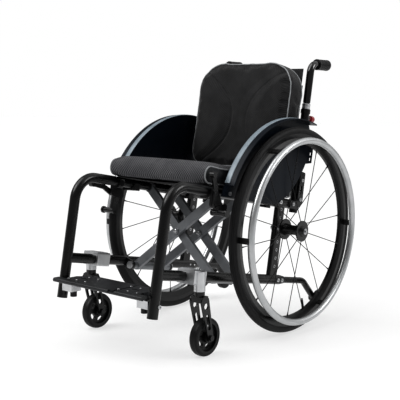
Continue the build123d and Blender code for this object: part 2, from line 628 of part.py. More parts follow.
# =====================================================================================
# Back canes, brackets, push handles
# =====================================================================================
with BuildPart() as back_bracket:
    with BuildSketch(side_plane(FRAME_X + TUBE_R)):
        with BuildLine():
            FilletPolyline(
                (24, RAIL_UP - 12),
                (60, RAIL_UP - 14),
                (CANE_ALONG + 15, RAIL_UP + 6),
                (CANE_ALONG + 13, 174),
                (CANE_ALONG - 10, 176),
                (CANE_ALONG - 12, RAIL_UP + 11),
                (24, RAIL_UP + 10),
                radius=5,
                close=True,
            )
        make_face()
        with Locations((CANE_ALONG, 121)):
            SlotOverall(26, 8, rotation=90, mode=Mode.SUBTRACT)
    extrude(amount=PLATE_THICK)
    bracket_holes = (BRACKET_RAIL_SCREW, *BRACKET_CANE_SCREWS)
    rod(side_plane(0), bracket_holes, SCREW_R, FRAME_X, FRAME_X + 40, Mode.SUBTRACT)
save_pair(back_bracket, "back_bracket")

with BuildPart() as back_cane:
    cane_plane = deck_plane(0)
    rod(cane_plane, [(FRAME_X, CANE_ALONG)], CANE_R, *CANE_ENDS)
    rod(cane_plane, [(FRAME_X, CANE_ALONG)], CANE_R + 2, CANE_ENDS[1] - 12, CANE_ENDS[1])
    # boss of the spring plunger on the back of the cane
    boss = (-CANE_ALONG - CANE_R - 8, -CANE_ALONG)
    rod(cross_plane(0), [(FRAME_X, KNOB_UP)], PLUNGER_R + 4, *boss)
    rod(cross_plane(0), [(FRAME_X, KNOB_UP)], PLUNGER_R + RUNNING, boss[0] - 1, boss[1], Mode.SUBTRACT)
    cane_bore = (CANE_ENDS[0] - 1, CANE_ENDS[1] + 1)
    rod(cane_plane, [(FRAME_X, CANE_ALONG)], HANDLE_TUBE_R + RUNNING, *cane_bore, Mode.SUBTRACT)
    rod(side_plane(0), BRACKET_CANE_SCREWS, SCREW_R, FRAME_X - 40, FRAME_X + 40, Mode.SUBTRACT)
save_pair(back_cane, "back_cane")

HANDLE_TOP = (HANDLE_Z - AXLE_Z + CANE_ALONG * SINP) / COSP
GRIP_MOUTH = frame_coords(GRIP_START, HANDLE_Z)
HANDLE_END = frame_coords(GRIP_START + GRIP_LENGTH - 4, HANDLE_Z)
with BuildPart() as push_handle:
    with BuildLine(side_plane(FRAME_X)):
        FilletPolyline((CANE_ALONG, HANDLE_STEP), (CANE_ALONG, HANDLE_TOP), HANDLE_END, radius=HANDLE_BEND_R)
    with BuildSketch(deck_plane(HANDLE_STEP)):
        with Locations((FRAME_X, CANE_ALONG)):
            Circle(HANDLE_R)
    sweep()
    rod(deck_plane(0), [(FRAME_X, CANE_ALONG)], HANDLE_TUBE_R, HANDLE_BOTTOM, HANDLE_STEP)
save_pair(push_handle, "push_handle")

with BuildPart() as handle_grip:
    grip_plane = Plane(origin=(FRAME_X, AXLE_Y + GRIP_START, HANDLE_Z), x_dir=(1, 0, 0), z_dir=(0, 1, 0))
    rib_pitch = (GRIP_LENGTH - 12) / GRIP_RIBS
    rod(grip_plane, [(0, 0)], GRIP_R - 1.5, 0, GRIP_LENGTH)
    rod(grip_plane, [(0, 0)], GRIP_R, 0, 5)
    rod(grip_plane, [(0, 0)], GRIP_R, GRIP_LENGTH - 6, GRIP_LENGTH)
    for i in range(GRIP_RIBS):
        rod(grip_plane, [(0, 0)], GRIP_R - 0.4, 6 + i * rib_pitch + 1, 6 + (i + 1) * rib_pitch - 1)
    rod(grip_plane, [(0, 0)], HANDLE_R, -1, GRIP_LENGTH - 4, Mode.SUBTRACT)
save_pair(handle_grip, "handle_grip")

with BuildPart() as height_knob:
    knob_front = -CANE_ALONG - CANE_R - 8 - 0.5
    rod(cross_plane(0), [(FRAME_X, KNOB_UP)], PLUNGER_R, knob_front - 6, -CANE_ALONG - HANDLE_TUBE_R - 0.4)
    rod(cross_plane(0), [(FRAME_X, KNOB_UP)], 0.6 * KNOB_R, knob_front - 5, knob_front)
    rod(cross_plane(0), [(FRAME_X, KNOB_UP)], KNOB_R, knob_front - KNOB_LENGTH, knob_front - 5)
    knob_rims = height_knob.edges().filter_by(GeomType.CIRCLE).filter_by(lambda e: e.radius > KNOB_R - 1)
    fillet(knob_rims, radius=3.5)
save_pair(height_knob, "height_knob")

# =====================================================================================
# Side guard with its fender lip
# =====================================================================================
with BuildPart() as side_guard:
    front_turn = radians(GUARD_ANGLES[1])
    rear_turn = radians(GUARD_ANGLES[0])
    mid_turn = (front_turn + rear_turn) / 2
    arc_front = frame_coords(GUARD_R * cos(front_turn), AXLE_Z + GUARD_R * sin(front_turn))
    arc_mid = frame_coords(GUARD_R * cos(mid_turn), AXLE_Z + GUARD_R * sin(mid_turn))
    arc_rear = frame_coords(GUARD_R * cos(rear_turn), AXLE_Z + GUARD_R * sin(rear_turn))
    guard_low = RAIL_UP - 10
    guard_front = arc_front[0] - 10
    with BuildSketch(side_plane(GUARD_X)):
        with BuildLine():
            ThreePointArc(arc_front, arc_mid, arc_rear)
            Line(arc_rear, (CANE_ALONG + 24, 246))
            Line((CANE_ALONG + 24, 246), (CANE_ALONG + 24, 206))
            Line((CANE_ALONG + 24, 206), (CANE_ALONG - 8, 200))
            ThreePointArc((CANE_ALONG - 8, 200), (10, 118), (-60, guard_low))
            Line((-60, guard_low), (guard_front, guard_low))
            Line((guard_front, guard_low), arc_front)
        make_face()
        for slot_up in (216, 232):
            with Locations((CANE_ALONG + 14, slot_up)):
                RectangleRounded(9, 9, 1.5, mode=Mode.SUBTRACT)
    extrude(amount=GUARD_THICK)
    with BuildSketch(upright_plane(GUARD_X)):
        with BuildLine():
            for lip_r, start in ((GUARD_R, rear_turn), (GUARD_R - GUARD_THICK, rear_turn)):
                CenterArc((0, 0), lip_r, degrees(start), GUARD_ANGLES[1] - GUARD_ANGLES[0])
            for turn in (rear_turn, front_turn):
                inner = GUARD_R - GUARD_THICK
                Line((inner * cos(turn), inner * sin(turn)), (GUARD_R * cos(turn), GUARD_R * sin(turn)))
        make_face()
    extrude(amount=GUARD_WIDTH)
    rod(side_plane(0), GUARD_SCREWS, SCREW_R, GUARD_X - 5, GUARD_X + 10, Mode.SUBTRACT)
save_pair(side_guard, "side_guard")

# =====================================================================================
# Wheel locks
# =====================================================================================
SHOE_PLATE_X = BRAKE_X + 2 * PLATE_THICK + 2 * BRAKE_PLAY

with BuildPart() as brake_body:
    rod(cross_plane(0), [(FRAME_X, RAIL_UP)], TUBE_R + 5, -LEVER_PIVOT[0] - 10, -LEVER_PIVOT[0] + 10)
    with BuildSketch(side_plane(BRAKE_X - 4)):
        for centre_at in (LEVER_PIVOT, SHOE_PIVOT):
            with Locations(centre_at):
                Circle(9)
        with Locations((LEVER_PIVOT[0], RAIL_UP)):
            Rectangle(20, 14)
        make_hull()
    extrude(amount=PLATE_THICK + 3)
    clamp_bore = (-LEVER_PIVOT[0] - 40, -LEVER_PIVOT[0] + 40)
    rod(cross_plane(0), [(FRAME_X, RAIL_UP)], TUBE_R, *clamp_bore, Mode.SUBTRACT)
    # the clamp is open at the top of the tube, where the seat lies
    with BuildSketch(deck_plane(RAIL_UP + 0.6 * TUBE_R)):
        with Locations((FRAME_X, LEVER_PIVOT[0])):
            Rectangle(80, 80)
    extrude(amount=20, mode=Mode.SUBTRACT)
    rod(side_plane(0), [LEVER_PIVOT], BRAKE_PIN_R, BRAKE_X, BRAKE_X + 2 * PLATE_THICK + BRAKE_PLAY)
    rod(side_plane(0), [SHOE_PIVOT], BRAKE_PIN_R, BRAKE_X, SHOE_PLATE_X + PLATE_THICK)
save_pair(brake_body, "brake_body")


def rotate_about(point, centre_at, turn):
    """Point turned by a number of degrees about centre_at, in a level side view."""
    dy, dz = point[0] - centre_at[0], point[1] - centre_at[1]
    c, s = cos(radians(turn)), sin(radians(turn))
    return (centre_at[0] + dy * c - dz * s, centre_at[1] + dy * s + dz * c)


def level(point):
    """Frame coordinates to distances behind and above the axle."""
    return (point[0] * COSP + point[1] * SINP, point[1] * COSP - point[0] * SINP)


LEVER_AT = level(LEVER_PIVOT)
SHOE_AT = level(SHOE_PIVOT)
shoe_reach = hypot(*SHOE_AT)
locked_reach = WHEEL_R + SHOE_R + SHOE_GAP
shoe_cos = (locked_reach**2 - shoe_reach**2 - SHOE_ARM**2) / (2 * shoe_reach * SHOE_ARM)
SHOE_LOCKED = degrees(atan2(SHOE_AT[1], SHOE_AT[0])) + degrees(acos(shoe_cos))


def brake_lever(turn):
    """Cranked lever with a round grip; turn is its angle from +Y."""
    x0 = BRAKE_X + PLATE_THICK + BRAKE_PLAY - 1
    reach = rotate_about((LEVER_AT[0] + LEVER_LENGTH, LEVER_AT[1]), LEVER_AT, turn)
    knee = rotate_about((LEVER_AT[0] + 0.5 * LEVER_LENGTH, LEVER_AT[1] - 7), LEVER_AT, turn)
    for near, far in ((LEVER_AT, knee), (knee, reach)):
        with BuildSketch(upright_plane(x0)) as arm:
            with Locations(near):
                Circle(8.5)
            with Locations(far):
                Circle(6.5)
            make_hull()
        extrude(arm.sketch, amount=PLATE_THICK)
    rod(upright_plane(0), [reach], 8.5, x0 - 4, x0 + PLATE_THICK + 5)
    rod(upright_plane(0), [LEVER_AT], BRAKE_PIN_R + RUNNING, x0 - 10, x0 + 20, Mode.SUBTRACT)


def brake_shoe(turn):
    """Arm with a round shoe that crosses the tread; turn is its angle from +Y."""
    tip = rotate_about((SHOE_AT[0] + SHOE_ARM, SHOE_AT[1]), SHOE_AT, turn)
    with BuildSketch(upright_plane(SHOE_PLATE_X)) as arm:
        with Locations(SHOE_AT):
            Circle(9)
        with Locations(tip):
            Circle(9)
        make_hull()
    extrude(arm.sketch, amount=PLATE_THICK)
    rod(upright_plane(0), [tip], SHOE_R, SHOE_PLATE_X, TRACK_X + TYRE_R + 12)
    rod(upright_plane(0), [tip], SHOE_R + 2, TRACK_X + TYRE_R + 6, TRACK_X + TYRE_R + 12)
    shoe_bore = (SHOE_PLATE_X - 10, SHOE_PLATE_X + 20)
    rod(upright_plane(0), [SHOE_AT], BRAKE_PIN_R + RUNNING, *shoe_bore, Mode.SUBTRACT)


with BuildPart() as left_brake_lever:
    brake_lever(LEVER_REST)
save(left_brake_lever, "left_brake_lever")

with BuildPart() as left_brake_shoe:
    brake_shoe(SHOE_LOCKED - SHOE_TRAVEL)
save(left_brake_shoe, "left_brake_shoe")

with BuildPart() as locked_lever:
    brake_lever(LEVER_REST + LEVER_TRAVEL)
with BuildPart() as right_brake_lever:
    mirror(locked_lever.part, about=Plane.YZ)
save(right_brake_lever, "right_brake_lever")

with BuildPart() as locked_shoe:
    brake_shoe(SHOE_LOCKED)
with BuildPart() as right_brake_shoe:
    mirror(locked_shoe.part, about=Plane.YZ)
save(right_brake_shoe, "right_brake_shoe")

# =====================================================================================
# Footplate: two halves that meet in a lap joint
# =====================================================================================
PLATE_TOP = PLATE_Z + PLATE_SIZE[2]
KNUCKLE_EDGE = FOOT_HINGE_X - FOOT_KNUCKLE_R - 0.7


def footplate_half(inner_x):
    """Half plate from inner_x out to its hinge knuckle, with a round front lip."""
    half, depth, thick = PLATE_SIZE
    with BuildSketch(Plane.XY.offset(PLATE_Z)) as deck:
        with BuildLine():
            Polyline(
                (inner_x, NOSE_Y + LIP_R),
                (half, NOSE_Y + LIP_R),
                (half, NOSE_Y + LIP_DEPTH),
                (KNUCKLE_EDGE, NOSE_Y + LIP_DEPTH),
                (KNUCKLE_EDGE, NOSE_Y + 0.62 * depth),
                (KNUCKLE_EDGE - 34, NOSE_Y + depth),
                (inner_x, NOSE_Y + depth),
                close=True,
            )
        make_face()
    extrude(deck.sketch, amount=thick)
    lip_plane_yz = Plane(origin=(0, NOSE_Y + LIP_R, PLATE_TOP - LIP_R), x_dir=(0, 1, 0), z_dir=(1, 0, 0))
    rod(lip_plane_yz, [(0, 0)], LIP_R, inner_x, half)
    # knuckle between the two ears of the block
    knuckle_half = BLOCK_DEPTH / 2 - 8
    with BuildSketch(Plane.XZ.offset(-TUBE_FOOT_Y + knuckle_half)) as knuckle:
        with Locations((FOOT_HINGE_X, FOOT_HINGE_Z)):
            Circle(FOOT_KNUCKLE_R)
        with Locations((KNUCKLE_EDGE - 1, PLATE_Z + thick / 2)):
            Rectangle(2, thick)
        make_hull()
    extrude(knuckle.sketch, amount=-2 * knuckle_half)
    pin_plane = Plane.XZ.offset(-TUBE_FOOT_Y)
    rod(pin_plane, [(FOOT_HINGE_X, FOOT_HINGE_Z)], FOOT_PIN_R + RUNNING, -40, 40, Mode.SUBTRACT)
    with BuildSketch(Plane.XY.offset(PLATE_Z)) as slot:
        with Locations((KNUCKLE_EDGE - 40, NOSE_Y + 0.55 * depth)):
            SlotOverall(30, 6)
    extrude(slot.sketch, amount=thick, mode=Mode.SUBTRACT)


with BuildPart() as left_footplate:
    footplate_half(SEAM_X)
    # step that the other half's tongue lies on
    with BuildSketch(Plane.XY.offset(PLATE_TOP - TONGUE_THICK - 0.3)):
        with Locations((SEAM_X + (TONGUE + SEAM_GAP) / 2, NOSE_Y + PLATE_SIZE[1] / 2)):
            Rectangle(TONGUE + SEAM_GAP, 2 * PLATE_SIZE[1])
    extrude(amount=20, mode=Mode.SUBTRACT)
save(left_footplate, "left_footplate")

with BuildPart() as mirrored_half:
    footplate_half(-SEAM_X + SEAM_GAP)
    with BuildSketch(Plane.XY.offset(PLATE_TOP - TONGUE_THICK)):
        tongue_x = SEAM_GAP - SEAM_X - TONGUE / 2
        tongue_y = NOSE_Y + (LIP_R + PLATE_SIZE[1]) / 2
        with Locations((tongue_x, tongue_y)):
            Rectangle(TONGUE + SEAM_GAP, PLATE_SIZE[1] - LIP_R)
    extrude(amount=TONGUE_THICK)
with BuildPart() as right_footplate:
    mirror(mirrored_half.part, about=Plane.YZ)
save(right_footplate, "right_footplate")

# =====================================================================================
# Upholstery, as plain closed solids
# =====================================================================================
with BuildPart() as seat_cushion:
    with BuildSketch(deck_plane(SEAT_UP)):
        with Locations((0, (SEAT_ENDS[0] + SEAT_ENDS[1]) / 2)):
            RectangleRounded(2 * SEAT_HALF, SEAT_ENDS[1] - SEAT_ENDS[0], 24)
    extrude(amount=SEAT_THICK)
    fillet(seat_cushion.faces().filter_by(lambda f: f.normal_at().dot(UP) > 0.99).edges(), radius=14)
save(seat_cushion, "seat_cushion")

with BuildPart() as seat_sling:
    with BuildSketch(deck_plane(SEAT_RAIL_UP + EYE_R + 0.5)):
        with Locations((0, (SEAT_RAIL_ENDS[0] + SEAT_RAIL_ENDS[1]) / 2)):
            Rectangle(2 * (PIVOT_X + SEAT_RAIL_R), SEAT_RAIL_ENDS[1] - SEAT_RAIL_ENDS[0])
    extrude(amount=SLING_THICK)
save(seat_sling, "seat_sling")

with BuildPart() as back_cushion:
    with BuildSketch(cross_plane(BACK_FRONT + BACK_THICK)):
        with Locations((0, (BACK_UP[0] + BACK_UP[1]) / 2)):
            RectangleRounded(2 * BACK_HALF, BACK_UP[1] - BACK_UP[0], 34)
    extrude(amount=BACK_THICK)
    fillet(back_cushion.faces().filter_by(lambda f: f.normal_at().dot(BACK) < -0.99).edges(), radius=12)
save(back_cushion, "back_cushion")

with BuildPart() as back_sling:
    with BuildSketch(cross_plane(BACK_FRONT + BACK_THICK + 1 + SLING_THICK)):
        with Locations((0, (BACK_UP[0] + BACK_UP[1]) / 2)):
            Rectangle(2 * (FRAME_X - 4), BACK_UP[1] - BACK_UP[0] - 14)
    extrude(amount=SLING_THICK)
save(back_sling, "back_sling")
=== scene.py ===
"""Folding manual wheelchair: finishes, upholstery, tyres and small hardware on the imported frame."""

import json
import logging
import math
from dataclasses import dataclass, field
from enum import Enum
from typing import Callable, Iterable, Sequence

import bpy
from mathutils import Matrix, Vector

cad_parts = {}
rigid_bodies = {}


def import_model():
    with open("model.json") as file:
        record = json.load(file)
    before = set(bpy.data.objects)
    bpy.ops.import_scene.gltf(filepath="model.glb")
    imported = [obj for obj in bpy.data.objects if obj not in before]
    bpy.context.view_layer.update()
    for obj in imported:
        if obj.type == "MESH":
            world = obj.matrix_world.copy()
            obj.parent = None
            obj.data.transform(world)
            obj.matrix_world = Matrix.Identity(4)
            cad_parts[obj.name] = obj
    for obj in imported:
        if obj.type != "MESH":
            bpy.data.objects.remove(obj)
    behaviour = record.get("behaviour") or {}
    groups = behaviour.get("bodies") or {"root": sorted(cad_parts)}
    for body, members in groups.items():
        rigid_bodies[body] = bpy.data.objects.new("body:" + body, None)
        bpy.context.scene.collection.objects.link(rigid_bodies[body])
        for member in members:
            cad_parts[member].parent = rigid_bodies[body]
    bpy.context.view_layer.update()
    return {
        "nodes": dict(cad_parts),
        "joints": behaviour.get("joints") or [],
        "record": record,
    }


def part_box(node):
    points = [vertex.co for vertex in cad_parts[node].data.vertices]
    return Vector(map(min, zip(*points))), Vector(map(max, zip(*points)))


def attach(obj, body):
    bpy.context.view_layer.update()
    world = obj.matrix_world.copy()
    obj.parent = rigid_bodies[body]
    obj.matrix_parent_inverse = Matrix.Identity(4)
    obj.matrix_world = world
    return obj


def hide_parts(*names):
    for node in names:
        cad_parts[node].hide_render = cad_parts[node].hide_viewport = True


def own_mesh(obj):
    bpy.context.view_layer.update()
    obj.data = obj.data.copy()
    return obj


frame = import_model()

MM = 0.001
CLOTH_FRAMES = 20  # steps that a cushion's cover is blown up for
LINE_PASSES = 3  # smoothing passes on a sewn line
log = logging.getLogger("wheelchair")

JOINTS = {joint["name"]: joint for joint in frame["joints"]}
AXLE = Vector((0.0, *JOINTS["left_wheel_spin"]["pos_m"][1:]))
BACK = Vector(JOINTS["fold"]["axis"]).normalized()
ACROSS = Vector((1.0, 0.0, 0.0))
UP = ACROSS.cross(BACK)
PITCH = math.atan2(-BACK.z, BACK.y)


class Side(Enum):
    """Which side of the chair a piece is on, as the user sits."""

    LEFT = 1
    RIGHT = -1

    @property
    def prefix(self) -> str:
        """The word that starts this side's piece names."""
        return self.name.lower() + "_"


# ------------------------------------------------------------------ places and meshes


def rail_point(x: float, along: float, up: float) -> Vector:
    """Point at x, back along the rails and up square to them.

    Args:
        x: millimetres to the user's left.
        along: millimetres behind the rear axle, parallel to the rails.
        up: millimetres above the rear axle, square to the rails.

    Returns:
        The point in metres.
    """
    return AXLE + (ACROSS * x + BACK * along + UP * up) * MM


def rail_coords(point: Vector) -> Vector:
    """The x, along and up of a point, in millimetres."""
    offset = (Vector(point) - AXLE) / MM
    return Vector((offset.x, offset.dot(BACK), offset.dot(UP)))


def deselect() -> None:
    """Leave nothing selected."""
    for piece in bpy.context.view_layer.objects:
        piece.select_set(False)


def take(piece: bpy.types.Object) -> None:
    """Select one piece alone and make it the active one."""
    deselect()
    piece.select_set(True)
    bpy.context.view_layer.objects.active = piece


def named(name: str) -> bpy.types.Object:
    """Name the primitive just added, with its place moved into its mesh.

    Args:
        name: the piece's name.

    Returns:
        The piece, at the origin.
    """
    piece = bpy.context.object
    take(piece)
    bpy.ops.object.transform_apply(location=True, rotation=True, scale=True)
    piece.name = name
    piece.data.name = name
    return piece


def edit(piece: bpy.types.Object, *steps: Callable[[], object], start: str = "SELECT") -> None:
    """Run edit-mode operators on a piece.

    Args:
        piece: the mesh to edit.
        steps: the operators, in order.
        start: what is selected first: SELECT for all, DESELECT for none, KEEP for what was chosen.
    """
    take(piece)
    bpy.ops.object.mode_set(mode="EDIT")
    if start in ("SELECT", "DESELECT"):
        bpy.ops.mesh.select_all(action=start)
    for step in steps:
        step()
    bpy.ops.object.mode_set(mode="OBJECT")


def choose_edges(piece: bpy.types.Object, test: Callable[[Vector, Vector], bool]) -> None:
    """Select the edges whose two ends pass a test.

    Args:
        piece: the mesh.
        test: takes the two ends' x, along and up in millimetres.
    """
    take(piece)
    bpy.ops.object.mode_set(mode="EDIT")
    bpy.ops.mesh.select_mode(type="EDGE")
    bpy.ops.mesh.select_all(action="DESELECT")
    bpy.ops.object.mode_set(mode="OBJECT")
    places = [rail_coords(v.co) for v in piece.data.vertices]
    for edge in piece.data.edges:
        first, last = edge.vertices
        edge.select = bool(test(places[first], places[last]))


def choose_faces(piece: bpy.types.Object, test: Callable[[bpy.types.MeshPolygon], bool]) -> None:
    """Select the faces that pass a test.

    Args:
        piece: the mesh.
        test: takes a face.
    """
    take(piece)
    bpy.ops.object.mode_set(mode="EDIT")
    bpy.ops.mesh.select_mode(type="FACE")
    bpy.ops.mesh.select_all(action="DESELECT")
    bpy.ops.object.mode_set(mode="OBJECT")
    for face in piece.data.polygons:
        face.select = bool(test(face))


def modify(piece: bpy.types.Object, kind: str, **settings: object) -> None:
    """Add a modifier to a piece and apply it.

    Args:
        piece: the mesh.
        kind: the modifier's type.
        settings: its settings.
    """
    take(piece)
    modifier = piece.modifiers.new(kind.title(), kind)
    for key, value in settings.items():
        setattr(modifier, key, value)
    bpy.ops.object.modifier_apply(modifier=modifier.name)


def smooth(piece: bpy.types.Object, degrees: float = 35.0) -> None:
    """Shade a piece smooth, but for edges sharper than an angle."""
    take(piece)
    bpy.ops.object.shade_smooth_by_angle(angle=math.radians(degrees))


def spun(
    name: str, section: Sequence[Vector], centre: Vector, axis: Vector, steps: int, sweep: float = 360.0
) -> bpy.types.Object:
    """Spin a closed section round an axis, as a lathe would.

    Args:
        name: the piece's name.
        section: the section's corners, in order, in metres.
        centre: a point on the axis.
        axis: the axis.
        steps: how many steps the turn has.
        sweep: the turn in degrees.

    Returns:
        The closed ring, or the capped part of one.
    """
    deselect()
    bpy.ops.mesh.primitive_circle_add(vertices=len(section), radius=MM, fill_type="NOTHING")
    ring = named(name)
    for vertex, place in zip(ring.data.vertices, section):
        vertex.co = place
    edit(
        ring,
        lambda: bpy.ops.mesh.spin(steps=steps, angle=math.radians(sweep), center=centre, axis=axis),
        lambda: bpy.ops.mesh.select_all(action="SELECT"),
        lambda: bpy.ops.mesh.remove_doubles(threshold=1e-6),
        lambda: bpy.ops.mesh.fill_holes(sides=0),
        lambda: bpy.ops.mesh.normals_make_consistent(inside=False),
    )
    return ring


def copied(piece: bpy.types.Object, name: str, change: Matrix) -> bpy.types.Object:
    """Copy a finished piece with its own mesh, moved or mirrored.

    Args:
        piece: the model to copy.
        name: the copy's name.
        change: how the copy's mesh is moved, turned or mirrored.

    Returns:
        The copy.
    """
    twin = piece.copy()
    twin.data = piece.data.copy()
    twin.name = name
    twin.data.name = name
    bpy.context.scene.collection.objects.link(twin)
    twin.data.transform(change)
    if change.determinant() < 0:
        edit(twin, lambda: bpy.ops.mesh.flip_normals())
    return twin


def joined(name: str, pieces: Sequence[bpy.types.Object]) -> bpy.types.Object:
    """Join pieces into one mesh.

    Args:
        name: the joined piece's name.
        pieces: what is joined, the first of them kept.

    Returns:
        The joined piece.
    """
    take(pieces[0])
    for piece in pieces[1:]:
        piece.select_set(True)
    bpy.ops.object.join()
    pieces[0].name = name
    return pieces[0]


def tube(name: str, points: Iterable[Vector], radius: float, closed: bool = False) -> bpy.types.Object:
    """Round cord sewn or laid along points.

    Args:
        name: the piece's name.
        points: the line's points, in metres.
        radius: the cord's radius in metres.
        closed: whether the line returns to its start.

    Returns:
        The cord as a mesh.
    """
    places = list(points)
    curve = bpy.data.curves.new(name, "CURVE")
    curve.dimensions = "3D"
    curve.bevel_depth = radius
    curve.bevel_resolution = 3
    curve.use_fill_caps = True
    spline = curve.splines.new("POLY")
    spline.points.add(len(places) - 1)
    for point, place in zip(spline.points, places):
        point.co = (*place, 1.0)
    spline.use_cyclic_u = closed
    cord = bpy.data.objects.new(name, curve)
    bpy.context.scene.collection.objects.link(cord)
    take(cord)
    bpy.ops.object.convert(target="MESH")
    cord = bpy.context.object
    smooth(cord, 60)
    return cord


def dress(piece: bpy.types.Object, body: str, slot: str, *materials: bpy.types.Material) -> None:
    """Give a piece its materials and its body.

    Args:
        piece: the finished mesh.
        body: the body that it rides on.
        slot: not used.
        materials: its materials, in slot order.
    """
    if not piece.data.materials:
        for material in materials:
            piece.data.materials.append(material)
    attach(piece, body)
    log.info("%s rides on %s", piece.name, body)


# ------------------------------------------------------------------ finishes


def linear(colour: str) -> tuple[float, float, float, float]:
    """Turn an sRGB hex colour to linear RGBA.

    Args:
        colour: six hex digits after a hash.

    Returns:
        Red, green, blue and alpha.
    """
    parts = [int(colour[i : i + 2], 16) / 255 for i in (1, 3, 5)]
    red, green, blue = (c / 12.92 if c <= 0.04045 else ((c + 0.055) / 1.055) ** 2.4 for c in parts)
    return red, green, blue, 1.0


def add_node(
    tree: bpy.types.NodeTree, kind: str, settings: dict | None = None, links: dict | None = None
) -> bpy.types.Node:
    """Add a node with its settings and links.

    Args:
        tree: the material's nodes.
        kind: the node's type.
        settings: values by property or socket.
        links: the sockets that feed it, by its own socket's name or number.

    Returns:
        The node.
    """
    node = tree.nodes.new(kind)
    for key, value in (settings or {}).items():
        if isinstance(key, str) and key.islower() and hasattr(node, key):
            setattr(node, key, value)
        else:
            node.inputs[key].default_value = value
    for key, source in (links or {}).items():
        tree.links.new(source, node.inputs[key])
    return node


def per_mm(size: float) -> float:
    """Texture scale that gives one pattern cell in so many millimetres."""
    return 1.0 / (size * MM)


@dataclass(frozen=True)
class Finish:
    """A finish with a fine grain in its surface and a slow drift in its colour and gloss.

    Attributes:
        name: what the finish is.
        colour: its sRGB colour.
        drift: the sRGB colour that it drifts to in patches.
        roughness: its least and most roughness.
        metallic: 1 for bare metal.
        ior: index of refraction, for anything but metal.
        coat: weight of a clear coat.
        sheen: weight of the fuzz at grazing angles.
        grain: size of the grain in millimetres.
        patch: size of the patches in millimetres.
        relief: height of the grain in millimetres.
    """

    name: str
    colour: str
    drift: str
    roughness: tuple[float, float]
    metallic: float = 0.0
    ior: float = 1.5
    coat: float = 0.0
    sheen: float = 0.0
    grain: float = 1.0
    patch: float = 40.0
    relief: float = 0.02

    def material(self) -> bpy.types.Material:
        """Build the material.

        Returns:
            The material, with its pattern.
        """
        material = bpy.data.materials.new(self.name)
        material.use_nodes = True
        tree = material.node_tree
        shader = tree.nodes["Principled BSDF"]
        shader.inputs["Base Color"].default_value = linear(self.colour)
        shader.inputs["Metallic"].default_value = self.metallic
        if self.metallic < 0.5:
            shader.inputs["IOR"].default_value = self.ior
        shader.inputs["Coat Weight"].default_value = self.coat
        shader.inputs["Coat Roughness"].default_value = 0.12
        shader.inputs["Sheen Weight"].default_value = self.sheen
        shader.inputs["Sheen Roughness"].default_value = 0.4
        place = add_node(tree, "ShaderNodeTexCoord").outputs["Object"]
        self.pattern(tree, shader, place)
        return material

    def drifting(
        self, tree: bpy.types.NodeTree, shader: bpy.types.Node, place: bpy.types.NodeSocket
    ) -> bpy.types.NodeSocket:
        """Link the drift of roughness and return the drifting colour.

        Args:
            tree: the material's nodes.
            shader: its shader.
            place: the coordinates.

        Returns:
            The colour's socket.
        """
        noise = add_node(
            tree, "ShaderNodeTexNoise", {"Scale": per_mm(self.patch), "Detail": 4.0}, {"Vector": place}
        )
        low, high = self.roughness
        gloss = add_node(
            tree,
            "ShaderNodeMapRange",
            {"From Min": 0.3, "From Max": 0.7, "To Min": low, "To Max": high},
            {"Value": noise.outputs["Fac"]},
        )
        tree.links.new(gloss.outputs["Result"], shader.inputs["Roughness"])
        ramp = add_node(tree, "ShaderNodeValToRGB", {}, {"Fac": noise.outputs["Fac"]})
        ramp.color_ramp.elements[0].position = 0.35
        ramp.color_ramp.elements[0].color = linear(self.colour)
        ramp.color_ramp.elements[1].position = 0.68
        ramp.color_ramp.elements[1].color = linear(self.drift)
        return ramp.outputs["Color"]

    def raised(
        self, tree: bpy.types.NodeTree, shader: bpy.types.Node, height: bpy.types.NodeSocket, relief: float
    ) -> None:
        """Raise the surface by a height socket, of so many millimetres."""
        bump = add_node(
            tree, "ShaderNodeBump", {"Strength": 1.0, "Distance": relief * MM}, {"Height": height}
        )
        tree.links.new(bump.outputs["Normal"], shader.inputs["Normal"])

    def pattern(
        self, tree: bpy.types.NodeTree, shader: bpy.types.Node, place: bpy.types.NodeSocket
    ) -> None:
        """Add the drift and the grain.

        Args:
            tree: the material's nodes.
            shader: its shader.
            place: the coordinates.
        """
        colour = self.drifting(tree, shader, place)
        tree.links.new(colour, shader.inputs["Base Color"])
        grain = add_node(
            tree, "ShaderNodeTexNoise", {"Scale": per_mm(self.grain), "Detail": 3.0}, {"Vector": place}
        )
        self.raised(tree, shader, grain.outputs["Fac"], self.relief)


@dataclass(frozen=True)
class TurnedMetal(Finish):
    """Metal with lines round an axle, left by turning or polishing on a lathe.

    Attributes:
        lines: spacing of the lines in millimetres.
    """

    lines: float = 0.9

    def pattern(
        self, tree: bpy.types.NodeTree, shader: bpy.types.Node, place: bpy.types.NodeSocket
    ) -> None:
        """Add the drift and the lines round the rear axle."""
        colour = self.drifting(tree, shader, place)
        tree.links.new(colour, shader.inputs["Base Color"])
        flat = add_node(
            tree,
            "ShaderNodeVectorMath",
            {"operation": "MULTIPLY_ADD", 1: (0.0, 1.0, 1.0), 2: (0.0, -AXLE.y, -AXLE.z)},
            {0: place},
        )
        radius = add_node(tree, "ShaderNodeVectorMath", {"operation": "LENGTH"}, {0: flat.outputs[0]})
        split = add_node(tree, "ShaderNodeSeparateXYZ", {}, {0: place})
        line = add_node(
            tree, "ShaderNodeCombineXYZ", {}, {"X": split.outputs["X"], "Y": radius.outputs["Value"]}
        )
        grain = add_node(
            tree,
            "ShaderNodeTexNoise",
            {"Scale": per_mm(self.lines), "Detail": 3.0},
            {"Vector": line.outputs[0]},
        )
        self.raised(tree, shader, grain.outputs["Fac"], self.relief)


